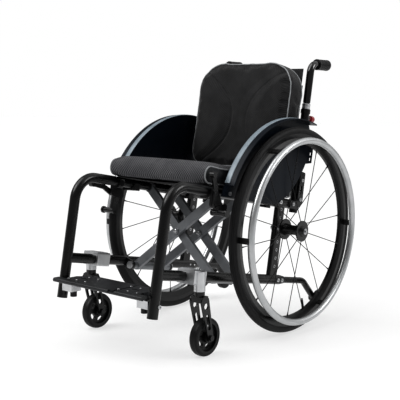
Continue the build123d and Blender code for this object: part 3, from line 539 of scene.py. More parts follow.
@dataclass(frozen=True)
class Cloth(Finish):
    """A cloth of two crossing sets of threads or knitted cells.

    Attributes:
        pitch: size of one cell in millimetres.
        across: direction of the first set.
        down: direction of the second set.
        shade: sRGB colour between the threads.
    """

    pitch: float = 3.0
    across: tuple[float, float, float] = (1.0, 0.0, 0.0)
    down: tuple[float, float, float] = (0.0, 1.0, 0.0)
    shade: str = "#101010"

    def pattern(
        self, tree: bpy.types.NodeTree, shader: bpy.types.Node, place: bpy.types.NodeSocket
    ) -> None:
        """Add the drift, the cells and their relief."""
        colour = self.drifting(tree, shader, place)
        waves = []
        for way in (self.across, self.down):
            run = add_node(
                tree, "ShaderNodeVectorMath", {"operation": "DOT_PRODUCT", 1: way}, {0: place}
            )
            turns = add_node(
                tree,
                "ShaderNodeMath",
                {"operation": "MULTIPLY", 1: 2 * math.pi * per_mm(self.pitch)},
                {0: run.outputs["Value"]},
            )
            waves.append(add_node(tree, "ShaderNodeMath", {"operation": "SINE"}, {0: turns.outputs[0]}))
        first, second = (wave.outputs[0] for wave in waves)
        cells = add_node(tree, "ShaderNodeMath", {"operation": "MULTIPLY"}, {0: first, 1: second})
        fuzz = add_node(
            tree, "ShaderNodeTexNoise", {"Scale": per_mm(self.grain), "Detail": 2.0}, {"Vector": place}
        )
        height = add_node(
            tree,
            "ShaderNodeMath",
            {"operation": "MULTIPLY_ADD", 1: 0.5},
            {0: fuzz.outputs["Fac"], 2: cells.outputs[0]},
        )
        share = add_node(
            tree,
            "ShaderNodeMapRange",
            {"From Min": -0.6, "From Max": 1.0, "To Min": 0.0, "To Max": 1.0},
            {"Value": height.outputs[0]},
        )
        mix = add_node(
            tree,
            "ShaderNodeMix",
            {"data_type": "RGBA", 6: linear(self.shade)},
            {0: share.outputs[0], 7: colour},
        )
        tree.links.new(mix.outputs[2], shader.inputs["Base Color"])
        self.raised(tree, shader, height.outputs[0], self.relief)


UNIT_SEAT = tuple(BACK + UP)
UNIT_BACK = tuple(ACROSS - BACK)

# Powder coat, sprayed and baked: satin black with a soft orange-peel gloss
POWDER_COAT = Finish(
    "powder_coated_aluminium", "#040405", "#070708", (0.24, 0.32), ior=1.42, coat=0.2, grain=1.6,
    relief=0.012,
)
# Gloss enamel, sprayed and polished: deep black with sharp highlights
GLOSS_ENAMEL = Finish(
    "gloss_enamelled_steel", "#030304", "#050506", (0.1, 0.16), coat=0.7, grain=2.5, relief=0.006
)
# Bead-blasted and clear-anodised aluminium: soft silver with a fine tooth
BLASTED = Finish(
    "blasted_aluminium", "#cfd0d1", "#c2c3c5", (0.32, 0.44), metallic=1.0, grain=0.8, relief=0.02
)
# Turned and clear-anodised handrim tube: bright satin silver
HANDRIM = TurnedMetal(
    "turned_anodised_handrim", "#c2c3c4", "#b8babb", (0.36, 0.42), metallic=1.0, lines=1.4, relief=0.0
)
# Ground stainless steel: axle heads and buttons
GROUND_STEEL = Finish(
    "ground_stainless_steel", "#b9b9ba", "#a5a6a8", (0.22, 0.34), metallic=1.0, grain=0.6, relief=0.01
)
# Black anodised, turned rim with a satin braking wall
RIM_METAL = TurnedMetal(
    "turned_black_rim", "#060607", "#090a0b", (0.28, 0.36), metallic=0.2, coat=0.15, lines=1.2,
    relief=0.003,
)
# Black oxide spokes, drawn wire
SPOKE_WIRE = Finish(
    "black_drawn_wire", "#0c0c0d", "#141415", (0.3, 0.42), metallic=0.4, grain=0.8, relief=0.01
)
# Hard-anodised extruded bar: mid grey with a dull metal gloss
HARD_ANODISED = Finish(
    "hard_anodised_bar", "#85878a", "#747679", (0.36, 0.46), metallic=0.55, grain=0.9, relief=0.02
)
# Moulded glass-filled nylon: matt black with a spark-eroded grain
NYLON = Finish("moulded_nylon", "#060607", "#0b0b0c", (0.36, 0.48), ior=1.42, grain=0.9, relief=0.04)
# Tyre rubber: near black and dull
TYRE_RUBBER = Finish(
    "moulded_tyre_rubber", "#08080a", "#0e0e0f", (0.5, 0.62), ior=1.4, grain=1.2, patch=25, relief=0.05
)
# Soft grip rubber: black and matt
GRIP_RUBBER = Finish(
    "moulded_grip_rubber", "#070708", "#0c0c0d", (0.34, 0.46), ior=1.52, grain=0.9, relief=0.05
)
# Gloss moulded ABS: clear red knobs
RED_ABS = Finish("moulded_red_abs", "#a11420", "#8c0f1a", (0.2, 0.3), coat=0.3, grain=2.0, relief=0.01)
# Moulded composite guard: navy black and satin
GUARD_SHELL = Finish(
    "moulded_composite_guard", "#0a111a", "#0d151f", (0.26, 0.34), ior=1.27, grain=3.0, relief=0.02
)
# Painted highlight: a light blue-grey satin band laid where the guard's lip catches the light
LIP_HIGHLIGHT = Finish("extruded_edge_trim", "#8f9aa2", "#7b878f", (0.34, 0.46), coat=0.1, grain=1.5, relief=0.03)
# Textured black footplate with a pressed anti-slip grain
TREAD_PLATE = Finish(
    "textured_black_plate", "#1d1e20", "#2a2b2e", (0.36, 0.48), metallic=0.2, grain=2.6, relief=0.18
)
# Spacer mesh: grey knitted cells about 3 mm wide, drawn at 8 mm so that they show
SEAT_KNIT = Cloth(
    "spacer_mesh_knit", "#6a6a6d", "#5c5c60", (0.8, 0.92), sheen=0.1, grain=0.8, relief=0.5,
    pitch=8.0, down=UNIT_SEAT, shade="#141416",
)
# The same mesh in a darker grey on the back, drawn at 6 mm
BACK_KNIT = Cloth(
    "dark_spacer_mesh_knit", "#2b2b2c", "#232324", (0.8, 0.92), sheen=0.15, grain=0.8, relief=0.35,
    pitch=6.0, across=UNIT_BACK, down=tuple(UP), shade="#121213",
)
# Coated nylon border cloth: navy black, close woven
BORDER_CLOTH = Cloth(
    "coated_nylon_border", "#07090d", "#0c0f15", (0.5, 0.62), grain=0.6, relief=0.12,
    pitch=2.4, across=tuple(BACK), down=tuple(UP), shade="#0b0d12",
)
# Nylon duck: the black sling cloth, threads about 1 mm drawn at 2.4 mm
SLING_CLOTH = Cloth(
    "nylon_duck", "#141416", "#1b1b1e", (0.6, 0.75), grain=0.6, relief=0.15,
    pitch=2.4, down=UNIT_SEAT, shade="#09090a",
)
# Corded piping in light grey polyester
PIPING = Finish(
    "polyester_piping", "#9a9c9e", "#86888a", (0.55, 0.7), sheen=0.2, grain=1.0, patch=12, relief=0.12
)
# Frosted acrylic studio table, lit evenly from below: plain and pale
FLOOR = Finish(
    "frosted_acrylic_table", "#969696", "#929292", (0.7, 0.8), grain=30.0, patch=900.0, relief=0.0
)


class Palette:
    """Builds each finish's material once."""

    def __init__(self) -> None:
        """Start with no materials built."""
        self._built: dict[str, bpy.types.Material] = {}

    def __getitem__(self, finish: Finish) -> bpy.types.Material:
        """The finish's material."""
        if finish.name not in self._built:
            self._built[finish.name] = finish.material()
        return self._built[finish.name]


# ------------------------------------------------------------------ sub-assemblies


@dataclass
class CadFinishes:
    """Dresses the carried-over CAD nodes by their record slot, and some by their own name."""

    palette: Palette
    by_slot: dict[str, Finish] = field(
        default_factory=lambda: {
            "frame": POWDER_COAT, "silver": BLASTED, "handrim": HANDRIM, "axle": GROUND_STEEL,
            "tyre": TYRE_RUBBER, "black_rim": RIM_METAL, "spoke": SPOKE_WIRE, "hub": POWDER_COAT,
            "brace": HARD_ANODISED, "black_plastic": NYLON, "grip": GRIP_RUBBER,
            "red_plastic": RED_ABS, "guard": GUARD_SHELL, "footplate": TREAD_PLATE, "caster": NYLON,
            "seat_fabric": BACK_KNIT, "sling_fabric": SLING_CLOTH,
        }
    )
    by_name: dict[str, Finish] = field(default_factory=lambda: {"push_handle": GLOSS_ENAMEL})
    rim_tube: float = 9.5

    def build(self) -> None:
        """Assign every node's material."""
        slots = {part["node"]: part["material_slot"] for part in frame["record"]["subparts"]}
        for name, node in frame["nodes"].items():
            kind = name.split("_", 1)[-1]
            finish = self.by_name.get(kind, self.by_slot[slots[name]])
            if node.material_slots:
                for slot in node.material_slots:
                    slot.material = self.palette[finish]
            else:
                node.data.materials.append(self.palette[finish])
            if kind == "handrim":
                self.blacken_tabs(node)
            log.info("%s is %s", name, finish.name)

    def blacken_tabs(self, node: bpy.types.Object) -> None:
        """Give the tabs that carry a handrim their own black finish."""
        low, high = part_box(node.name)
        ring_x = math.copysign(max(abs(low.x), abs(high.x)) - self.rim_tube * MM, low.x + high.x)
        ring_r = (high.z - low.z) / 2 - self.rim_tube * MM
        slot = len(node.data.materials)
        node.data.materials.append(self.palette[NYLON])
        for face in node.data.polygons:
            centre = node.matrix_world @ face.center
            radius = math.hypot(centre.y - AXLE.y, centre.z - AXLE.z)
            if math.hypot(centre.x - ring_x, radius - ring_r) > (self.rim_tube + 0.4) * MM:
                face.material_index = slot


@dataclass
class RearTyre:
    """Treaded tyre of one rear wheel, with its valve and spoke nipples."""

    side: Side
    palette: Palette
    section_r: float = 12.0
    groove: float = 0.9
    grooves: tuple[float, ...] = (-38.0, -14.0, 14.0, 38.0)
    groove_width: float = 5.0
    nipple_r: float = 2.3
    nipple_length: float = 11.0
    nipple_offset: float = 3.0
    spoke_lean: float = 0.12
    rim_inner: float = 250.0
    spokes: int = 18
    first_spoke: float = 5.0
    valve_r: float = 3.1
    valve_length: float = 30.0
    valve_tip: float = 5.0
    valve_sink: float = 12.0
    valve_turn: float = -165.0

    def build(self) -> None:
        """Spin the tyre and set the nipples."""
        prefix = self.side.prefix
        low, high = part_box(prefix + "tyre")
        middle = (low + high) / 2
        ring_r = (high.z - low.z) / 2 - self.section_r * MM
        section = []
        for degrees in [3.0 * i for i in range(120)]:
            turn = degrees if degrees < 180 else degrees - 360
            near = min(abs(turn - groove) for groove in self.grooves)
            sink = self.groove * max(0.0, 1 - (near / self.groove_width) ** 4)
            shoulder = 0.35 if 52 < abs(turn) < 58 else 0.0
            radius = (self.section_r - sink - shoulder) * MM
            angle = math.radians(degrees)
            across, out = radius * math.sin(angle), radius * math.cos(angle)
            section.append(middle + Vector((across, 0, ring_r + out)))
        tyre = spun(prefix + "treaded_tyre", section, middle, ACROSS, 180)
        smooth(tyre, 50)
        dress(tyre, prefix + "rear_wheel", "tyre", self.palette[TYRE_RUBBER])
        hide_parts(prefix + "tyre")
        self.nipples(middle)

    def nipples(self, middle: Vector) -> None:
        """Set a nipple at each spoke's end and a valve between two of them.

        Args:
            middle: the wheel's centre.
        """
        prefix = self.side.prefix
        deselect()
        bpy.ops.mesh.primitive_cylinder_add(
            vertices=10, radius=self.nipple_r * MM, depth=self.nipple_length * MM
        )
        nipple = named("nipple")
        choose_faces(nipple, lambda face: face.normal.z < -0.9)
        edit(nipple, lambda: bpy.ops.transform.resize(value=(0.6, 0.6, 1.0)), start="KEEP")
        parts = []
        for i in range(self.spokes):
            turn = math.radians(90 - (self.first_spoke + 360 * i / self.spokes))
            hand = self.side.value if i % 2 else -self.side.value
            seat = (hand * self.nipple_offset * MM, 0, (self.rim_inner - self.nipple_length / 2) * MM)
            change = (
                Matrix.Translation(middle)
                @ Matrix.Rotation(-turn, 4, "X")
                @ Matrix.Translation(seat)
                @ Matrix.Rotation(-hand * self.spoke_lean, 4, "Y")
            )
            parts.append(copied(nipple, f"nipple_{i}", change))
        deselect()
        bpy.ops.mesh.primitive_cylinder_add(
            vertices=16, radius=self.valve_r * MM, depth=self.valve_length * MM
        )
        valve = named("valve")
        choose_faces(valve, lambda face: face.normal.z < -0.9)
        edit(
            valve,
            lambda: bpy.ops.mesh.inset(thickness=0.6 * MM),
            lambda: bpy.ops.mesh.extrude_region_move(
                TRANSFORM_OT_translate={"value": (0, 0, -self.valve_tip * MM)}
            ),
            lambda: bpy.ops.mesh.inset(thickness=0.5 * MM),
            start="KEEP",
        )
        valve.data.transform(
            Matrix.Translation(middle)
            @ Matrix.Rotation(math.radians(self.valve_turn), 4, "X")
            @ Matrix.Translation((0, 0, (self.rim_inner - self.valve_sink) * MM))
        )
        parts.append(valve)
        whole = joined(prefix + "nipples_and_valve", parts)
        bpy.data.objects.remove(nipple)
        smooth(whole, 40)
        dress(whole, prefix + "rear_wheel", "spoke", self.palette[SPOKE_WIRE])


@dataclass
class CasterTyre:
    """Soft tread moulded round one front caster wheel."""

    side: Side
    palette: Palette
    width: float = 24.6
    depth: float = 9.0
    proud: float = 0.35

    def build(self) -> None:
        """Spin the tread with a round crown and a moulding line each side."""
        prefix = self.side.prefix
        low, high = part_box(prefix + "caster_wheel")
        middle = (low + high) / 2
        outer = (high.z - low.z) / 2 / MM + self.proud
        half = self.width / 2
        inner = outer - self.depth
        wall = [(half - 0.5, outer - 5.2), (half + 0.1, outer - 6.5), (half, inner + 1), (half - 1, inner)]
        crown = [
            (half * math.sin(math.radians(t)) * 0.96, outer - 5 + 5 * math.cos(math.radians(t)) ** 0.7)
            for t in range(-84, 85, 7)
        ]
        profile = [(-x, r) for x, r in reversed(wall)] + crown + wall
        section = [middle + Vector((x * MM, 0, r * MM)) for x, r in profile]
        tread = spun(prefix + "caster_tread", section, middle, ACROSS, 96)
        smooth(tread, 40)
        dress(tread, prefix + "caster_wheel", "tyre", self.palette[TYRE_RUBBER])


@dataclass
class HandleCollar:
    """Machined clamp collar where the push handle leaves its cane."""

    side: Side
    palette: Palette
    start: float = 364.2
    length: float = 17.0
    radius: float = 12.5
    bore: float = 11.5
    along: float = 72.0

    def build(self) -> None:
        """Turn the collar with two chamfers and a waist."""
        prefix = self.side.prefix
        low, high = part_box(prefix + "back_cane")
        x = (low.x + high.x) / 2 / MM
        end = self.start + self.length
        profile = [
            (self.bore, self.start), (self.radius - 0.8, self.start), (self.radius, self.start + 0.8),
            (self.radius, self.start + 5), (self.radius - 0.7, self.start + 5.7),
            (self.radius - 0.7, end - 5.7), (self.radius, end - 5), (self.radius, end - 0.8),
            (self.radius - 0.8, end), (self.bore, end),
        ]
        section = [rail_point(x + r, self.along, up) for r, up in profile]
        collar = spun(prefix + "handle_collar", section, rail_point(x, self.along, self.start), UP, 48)
        smooth(collar, 30)
        dress(collar, prefix + "frame", "silver", self.palette[BLASTED])


@dataclass
class GuardTrim:
    """Painted highlight: a light blue-grey band along the inner corner of a side guard's lip, where it
    catches the light.

    Attributes:
        start: where it starts, in degrees over the rear axle from straight back.
        sweep: how far it goes round towards the front, in degrees.
        lap: how far it reaches past the corner, in millimetres.
        lift: how far its middle stands over the lip, in millimetres.
        corners: how many corners its section has.
    """

    side: Side
    palette: Palette
    width: float = 17.0
    thick: float = 3.0
    start: float = 71.0
    sweep: float = 81.0
    lap: float = 1.2
    lift: float = 0.4
    corners: int = 24

    def build(self) -> None:
        """Spin the painted highlight band's round-backed section along the lip."""
        prefix = self.side.prefix
        low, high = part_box(prefix + "side_guard")
        top = high.z - AXLE.z
        inner = low.x if self.side is Side.LEFT else high.x
        sign = self.side.value
        half = self.width / 2
        profile = []
        for step in range(self.corners):
            angle = 2 * math.pi * step / self.corners
            across = half * math.copysign(abs(math.cos(angle)) ** 0.7, math.cos(angle))
            profile.append((across + half - self.lap, self.thick / 2 * math.sin(angle) + self.lift))
        turn = math.radians(self.start)
        centre = Vector((inner, AXLE.y, AXLE.z))
        section = []
        for x, rise in profile:
            radius = top + rise * MM
            out = Vector((sign * x * MM, radius * math.cos(turn), radius * math.sin(turn)))
            section.append(centre + out)
        lip_band = spun(prefix + "guard_trim", section, centre, -ACROSS, 72, self.sweep)
        smooth(lip_band, 50)
        # The band's light colour is a painted highlight on the guard's lip
        dress(lip_band, prefix + "frame", "guard", self.palette[LIP_HIGHLIGHT])


@dataclass
class FootplateRivets:
    """Domed rivets on one half of the footplate.

    Attributes:
        rows: each row's distance behind the nose, and its rivets' places across.
    """

    side: Side
    palette: Palette
    radius: float = 3.4
    height: float = 1.6
    sunk: float = 0.1
    rows: tuple[tuple[float, tuple[float, ...]], ...] = ((24.0, (62.0, 96.0, 128.0)), (70.0, (62.0, 96.0)))

    def build(self) -> None:
        """Set the rivets in two rows."""
        prefix = self.side.prefix
        low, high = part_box(prefix + "footplate")
        deselect()
        bpy.ops.mesh.primitive_uv_sphere_add(segments=20, ring_count=10, radius=self.radius * MM)
        rivet = named("rivet")
        edit(
            rivet,
            lambda: bpy.ops.mesh.bisect(
                plane_co=(0, 0, 0), plane_no=(0, 0, 1), clear_inner=True, use_fill=True
            ),
            lambda: bpy.ops.mesh.select_all(action="SELECT"),
            lambda: bpy.ops.transform.resize(value=(1, 1, self.height / self.radius)),
        )
        parts = []
        for back, spots in self.rows:
            for spot in spots:
                x = self.side.value * spot * MM
                place = Matrix.Translation((x, low.y + back * MM, high.z - self.sunk * MM))
                parts.append(copied(rivet, f"rivet_{len(parts)}", place))
        whole = joined(prefix + "footplate_rivets", parts)
        bpy.data.objects.remove(rivet)
        smooth(whole, 50)
        dress(whole, prefix + "footplate", "silver", self.palette[GROUND_STEEL])


@dataclass
class BraceCaps:
    """Polished cap nuts on the cross brace's centre pivots."""

    palette: Palette
    frames: tuple[float, ...] = (-240.0, -139.0)
    reach: float = 13.0
    centre_up: float = -43.85
    radius: float = 9.4
    height: float = 6.0

    def build(self) -> None:
        """Turn one cap nut and set it on each end of each pivot."""
        parts = []
        for along in self.frames:
            for way in (-1, 1):
                foot = along + way * self.reach
                profile = [(0.0, 0.2), (self.radius, 0.2), (self.radius, 2.6), (self.radius - 1.2, 3.6)]
                profile += [(6.2, 3.8), (5.4, 5.2), (3.2, self.height), (0.0, self.height + 0.3)]
                section = [rail_point(r, foot + way * h, self.centre_up) for r, h in profile]
                cap = spun(f"cap_{len(parts)}", section, rail_point(0, foot, self.centre_up), BACK, 32)
                parts.append(cap)
        whole = joined("brace_pivot_caps", parts)
        edit(whole, lambda: bpy.ops.mesh.remove_doubles(threshold=1e-6),
             lambda: bpy.ops.mesh.normals_make_consistent(inside=False))
        smooth(whole, 30)
        dress(whole, "cross_brace_a", "silver", self.palette[GROUND_STEEL])


# ------------------------------------------------------------------ upholstery


def padded_box(name: str, size: Vector, centre: Vector) -> bpy.types.Object:
    """Sharp box square to the rails.

    Args:
        name: the piece's name.
        size: its x, along and up sizes in millimetres.
        centre: its centre's x, along and up.

    Returns:
        The box.
    """
    deselect()
    bpy.ops.mesh.primitive_cube_add(
        size=1.0, location=rail_point(*centre), rotation=(-PITCH, 0, 0), scale=tuple(size * MM)
    )
    return named(name)


def inflate(piece: bpy.types.Object, voxel: float, cap: float, pressure: float = 4.0) -> None:
    """Remesh a closed shape and blow it up as foam fills its cover.

    Args:
        piece: the closed mesh.
        voxel: the remesh size in millimetres.
        cap: how far a point may move, in millimetres.
        pressure: the pressure in the cover.
    """
    modify(piece, "REMESH", mode="VOXEL", voxel_size=voxel * MM, use_smooth_shade=True)
    rest = [v.co.copy() for v in piece.data.vertices]
    cloth = piece.modifiers.new("Cloth", "CLOTH")
    settings = cloth.settings
    settings.quality = 4
    settings.mass = 0.3
    settings.tension_stiffness = 12
    settings.compression_stiffness = 12
    settings.shear_stiffness = 5
    settings.bending_stiffness = 2
    settings.use_pressure = True
    settings.uniform_pressure_force = pressure
    settings.effector_weights.gravity = 0.0
    for step in range(1, CLOTH_FRAMES + 1):
        bpy.context.scene.frame_set(step)
    take(piece)
    bpy.ops.object.modifier_apply(modifier=cloth.name)
    for vertex, was in zip(piece.data.vertices, rest):
        move = vertex.co - was
        if move.length > cap * MM:
            vertex.co = was + move * (cap * MM / move.length)
    bpy.context.scene.frame_set(1)


def on_surface(piece: bpy.types.Object, points: Iterable[Vector], lift: float) -> list[Vector]:
    """Lay a closed line of points on a piece's surface and smooth it.

    Args:
        piece: the mesh.
        points: points near its surface, in metres.
        lift: how far they stand off it, in millimetres.

    Returns:
        The points on the surface.
    """
    bpy.context.view_layer.update()
    laid = []
    for point in points:
        _, place, normal, _ = piece.closest_point_on_mesh(point)
        laid.append(place + normal * lift * MM)
    for _ in range(LINE_PASSES):
        laid = [(laid[i - 1] + laid[i] * 2 + laid[(i + 1) % len(laid)]) / 4 for i in range(len(laid))]
    return laid


def rounded_outline(low: Vector, high: Vector, radii: Sequence[float], step: float = 3.0) -> list[Vector]:
    """Points round a rectangle with round corners.

    Args:
        low: its lowest corner, in two coordinates.
        high: its highest corner.
        radii: the corner radii at low-low, high-low, high-high and low-high.
        step: rough spacing of the points.

    Returns:
        The points, in order.
    """
    corners = [(low.x, low.y), (high.x, low.y), (high.x, high.y), (low.x, high.y)]
    outline: list[Vector] = []
    for i, ((cx, cy), radius) in enumerate(zip(corners, radii)):
        inward = Vector((1 if cx == low.x else -1, 1 if cy == low.y else -1))
        centre = Vector((cx, cy)) + inward * radius
        count = max(2, int(radius * math.pi / 2 / step))
        for k in range(count + 1):
            angle = math.pi + i * math.pi / 2 + (math.pi / 2) * k / count
            outline.append(centre + Vector((math.cos(angle), math.sin(angle))) * radius)
    full: list[Vector] = []
    for i, point in enumerate(outline):
        following = outline[(i + 1) % len(outline)]
        gap = (following - point).length
        parts = max(1, int(gap / step))
        full += [point.lerp(following, k / parts) for k in range(parts)]
    return full


@dataclass
class SeatCushion:
    """Seat pad: knitted top and nose, woven side borders, piping between them."""

    palette: Palette
    half_width: float = 181.0
    ends: tuple[float, float] = (-376.0, 39.0)
    bottom: float = 91.0
    thick: float = 51.0
    nose: float = 24.0
    piping_r: float = 2.0
    cap: float = 9.0
    crown: float = 3.0
    rear_stop: float = 43.0
    keep: float = 0.4

    def build(self) -> None:
        """Build the pad and its piping."""
        front, rear = self.ends
        size = Vector((2 * self.half_width, rear - front, self.thick))
        centre = Vector((0, (front + rear) / 2, self.bottom + self.thick / 2))
        pad = padded_box("seat_cushion_cover", size, centre)
        choose_edges(pad, lambda a, b: max(a.y, b.y) < front + 1 and abs(a.x - b.x) > 10)
        edit(
            pad,
            lambda: bpy.ops.mesh.bevel(offset=self.nose * MM, segments=8, affect="EDGES"),
            start="KEEP",
        )
        modify(pad, "BEVEL", width=6 * MM, segments=3, limit_method="ANGLE", angle_limit=math.radians(60))
        inflate(pad, 5.0, self.cap)
        for vertex in pad.data.vertices:
            x, along, up = rail_coords(vertex.co)
            share = max(0.0, 1 - (x / self.half_width) ** 2)
            share *= max(0.0, 1 - ((along - centre.y) / (size.y / 2)) ** 4)
            crown = self.crown * share if up > centre.z else 0.0
            vertex.co = rail_point(x, min(along, self.rear_stop), max(up + crown, self.bottom))
        modify(pad, "SUBSURF", levels=1, render_levels=1)
        smooth(pad, 80)
        pad.data.materials.append(self.palette[SEAT_KNIT])
        pad.data.materials.append(self.palette[BORDER_CLOTH])
        for face in pad.data.polygons:
            face.material_index = 1 if abs(face.normal.x) > 0.72 or face.normal.dot(UP) < -0.8 else 0
        dress(pad, "left_seat_rail", "seat_fabric")
        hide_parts("seat_cushion")
        self.flatten(pad)
        for side in Side:
            outline = rounded_outline(
                Vector((front - 2, self.bottom - 1)),
                Vector((rear + 2, self.bottom + self.thick + 3)),
                (self.nose, 8, 8, self.nose),
            )
            near = (rail_point(side.value * (self.half_width + 3), p.x, p.y) for p in outline)
            line = on_surface(pad, near, 0.6)
            piping = tube(f"{side.prefix}seat_piping", line, self.piping_r * MM, closed=True)
            dress(piping, "left_seat_rail", "seat_fabric", self.palette[PIPING])
            self.flatten(piping)

    def flatten(self, piece: bpy.types.Object) -> None:
        """Give a piece of the cushion its own copy of its mesh."""
        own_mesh(piece)


@dataclass
class BackCushion:
    """Contoured back pad: two side bolsters behind curved seams, piped front and rear edges."""

    palette: Palette
    half_width: float = 181.0
    ends: tuple[float, float] = (161.0, 494.0)
    depth: tuple[float, float] = (-26.0, 37.0)
    top_corner: float = 94.0
    bottom_corner: float = 62.0
    seam_x: tuple[float, float] = (27.0, 132.0)
    seam_depth: float = 3.0
    shallow_seam: float = 1.2
    bolster: float = 8.0
    piping_r: float = 1.9
    cap: float = 9.0
    keep: float = 0.36

    def seam(self, up: float) -> float:
        """How far from the middle a curved seam is at a height."""
        share = (up - self.ends[0]) / (self.ends[1] - self.ends[0])
        least, most = self.seam_x
        return least + (most - least) * min(1.5, abs((share - 0.46) / 0.41) ** 2.3)

    def shaped(self, x: float, up: float) -> float:
        """How far forward the front stands at a place, in millimetres."""
        past = abs(x) - self.seam(up)
        depth = self.seam_depth if x < 0 else self.shallow_seam
        groove = -depth * math.exp(-((past / 3.6) ** 2))
        rise = max(0.0, min(1.0, past / 45.0))
        fade = max(0.0, min(1.0, (self.half_width - abs(x)) / 30.0))
        side = self.bolster * rise * rise * (3 - 2 * rise) * fade
        hollow = -4.0 * max(0.0, min(1.0, -past / 40.0))
        return groove + side + hollow

    def build(self) -> None:
        """Build the pad and its piping."""
        low, high = self.ends
        near, far = self.depth
        size = Vector((2 * self.half_width, far - near, high - low))
        centre = Vector((0, (near + far) / 2, (low + high) / 2))
        pad = padded_box("back_cushion_cover", size, centre)
        for level, radius in ((high, self.top_corner), (low, self.bottom_corner)):
            choose_edges(
                pad, lambda a, b: abs(a.y - b.y) > 10 and abs(a.z - level) < 2 and abs(b.z - level) < 2
            )
            edit(
                pad,
                lambda: bpy.ops.mesh.bevel(offset=radius * MM, segments=10, affect="EDGES"),
                start="KEEP",
            )
        modify(pad, "BEVEL", width=6 * MM, segments=3, limit_method="ANGLE", angle_limit=math.radians(60))
        inflate(pad, 5.0, self.cap)
        modify(pad, "SUBSURF", levels=1, render_levels=1)
        for vertex, normal in zip(pad.data.vertices, [v.normal.copy() for v in pad.data.vertices]):
            x, along, up = rail_coords(vertex.co)
            front = max(0.0, min(1.0, (-normal.dot(BACK) - 0.35) / 0.4))
            vertex.co = rail_point(x, min(along - front * self.shaped(x, up), far + 2.5), up)
        smooth(pad, 80)
        dress(pad, "left_frame", "seat_fabric", self.palette[BACK_KNIT])
        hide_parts("back_cushion")
        self.flatten(pad)
        outline = rounded_outline(
            Vector((-self.half_width - 3, low - 3)),
            Vector((self.half_width + 3, high + 3)),
            (self.bottom_corner, self.bottom_corner, self.top_corner, self.top_corner),
        )
        for name, along in (("front", near - 3), ("rear", far + 3)):
            line = on_surface(pad, [rail_point(p.x, along, p.y) for p in outline], 0.5)
            piping = tube(f"back_{name}_piping", line, self.piping_r * MM, closed=True)
            dress(piping, "left_frame", "seat_fabric", self.palette[PIPING])
            self.flatten(piping)

    def flatten(self, piece: bpy.types.Object) -> None:
        """Give a piece of the cushion its own copy of its mesh."""
        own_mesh(piece)


@dataclass
class Slings:
    """The two cloths that carry the cushions, with their hems and tension straps."""

    palette: Palette
    seat_half: float = 149.0
    seat_ends: tuple[float, float] = (-351.0, 29.0)
    seat_up: float = 89.2
    sag: float = 5.0
    hem_r: float = 1.9
    back_half: float = 163.0
    back_ends: tuple[float, float] = (172.0, 482.0)
    back_along: float = 42.0
    strap_width: float = 38.0
    straps: tuple[float, ...] = (222.0, 286.0, 350.0, 414.0)

    def sheet(
        self, name: str, half: float, ends: tuple[float, float], place: Callable[[float, float], Vector]
    ) -> bpy.types.Object:
        """Grid of cloth laid by a function, with the cloth's thickness.

        Args:
            name: the piece's name.
            half: half its width in millimetres.
            ends: where it starts and ends in millimetres.
            place: turns across and down millimetres to a point.

        Returns:
            The sheet.
        """
        deselect()
        bpy.ops.mesh.primitive_grid_add(x_subdivisions=40, y_subdivisions=30, size=2.0)
        cloth = named(name)
        for vertex in cloth.data.vertices:
            across, down = vertex.co.x, vertex.co.y
            vertex.co = place(across * half, ends[0] + (ends[1] - ends[0]) * (down + 1) / 2)
        edit(cloth, lambda: bpy.ops.mesh.normals_make_consistent(inside=False))
        modify(cloth, "SOLIDIFY", thickness=1.4 * MM, offset=0.0)
        smooth(cloth, 50)
        return cloth

    def on_seat(self, x: float, along: float) -> Vector:
        """The place on the sagging seat cloth at an x and an along."""
        return rail_point(x, along, self.seat_up - self.sag * (1 - (x / self.seat_half) ** 2))

    def build(self) -> None:
        """Lay both cloths, sew the seat cloth's hems and add the back's tension straps."""
        seat = self.sheet("seat_sling_cloth", self.seat_half, self.seat_ends, self.on_seat)
        dress(seat, "left_seat_rail", "sling_fabric", self.palette[SLING_CLOTH])
        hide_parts("seat_sling")
        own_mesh(seat)
        hems = []
        for along in self.seat_ends:
            line = [self.on_seat(self.seat_half * (k / 20 - 1), along) for k in range(41)]
            hems.append(tube(f"hem_{len(hems)}", line, self.hem_r * MM))
        hem = joined("seat_sling_hems", hems)
        dress(hem, "left_seat_rail", "sling_fabric", self.palette[SLING_CLOTH])
        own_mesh(hem)
        length = (self.seat_ends[1] - self.seat_ends[0]) * MM
        2 * self.seat_half * MM
        back = self.sheet(
            "back_sling_cloth", self.back_half, self.back_ends,
            lambda x, up: rail_point(x, self.back_along, up),
        )
        dress(back, "left_frame", "sling_fabric", self.palette[SLING_CLOTH])
        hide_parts("back_sling")
        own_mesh(back)
        straps = self.tension_straps()
        2 * self.back_half * MM
        (self.back_ends[1] - self.back_ends[0]) * MM

    def tension_straps(self) -> bpy.types.Object:
        """Webbing behind the back cloth, bowed a little between the canes.

        Returns:
            The straps, as one piece.
        """
        parts = []
        for level in self.straps:
            half = self.strap_width / 2
            strap = self.sheet(
                f"strap_{len(parts)}", self.back_half - 2, (level - half, level + half),
                lambda x, up: rail_point(x, self.back_along + 4 + 6 * (x / self.back_half) ** 4, up),
            )
            parts.append(strap)
        whole = joined("back_tension_straps", parts)
        dress(whole, "left_frame", "sling_fabric", self.palette[NYLON])
        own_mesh(whole)
        return whole


# ------------------------------------------------------------------ stage


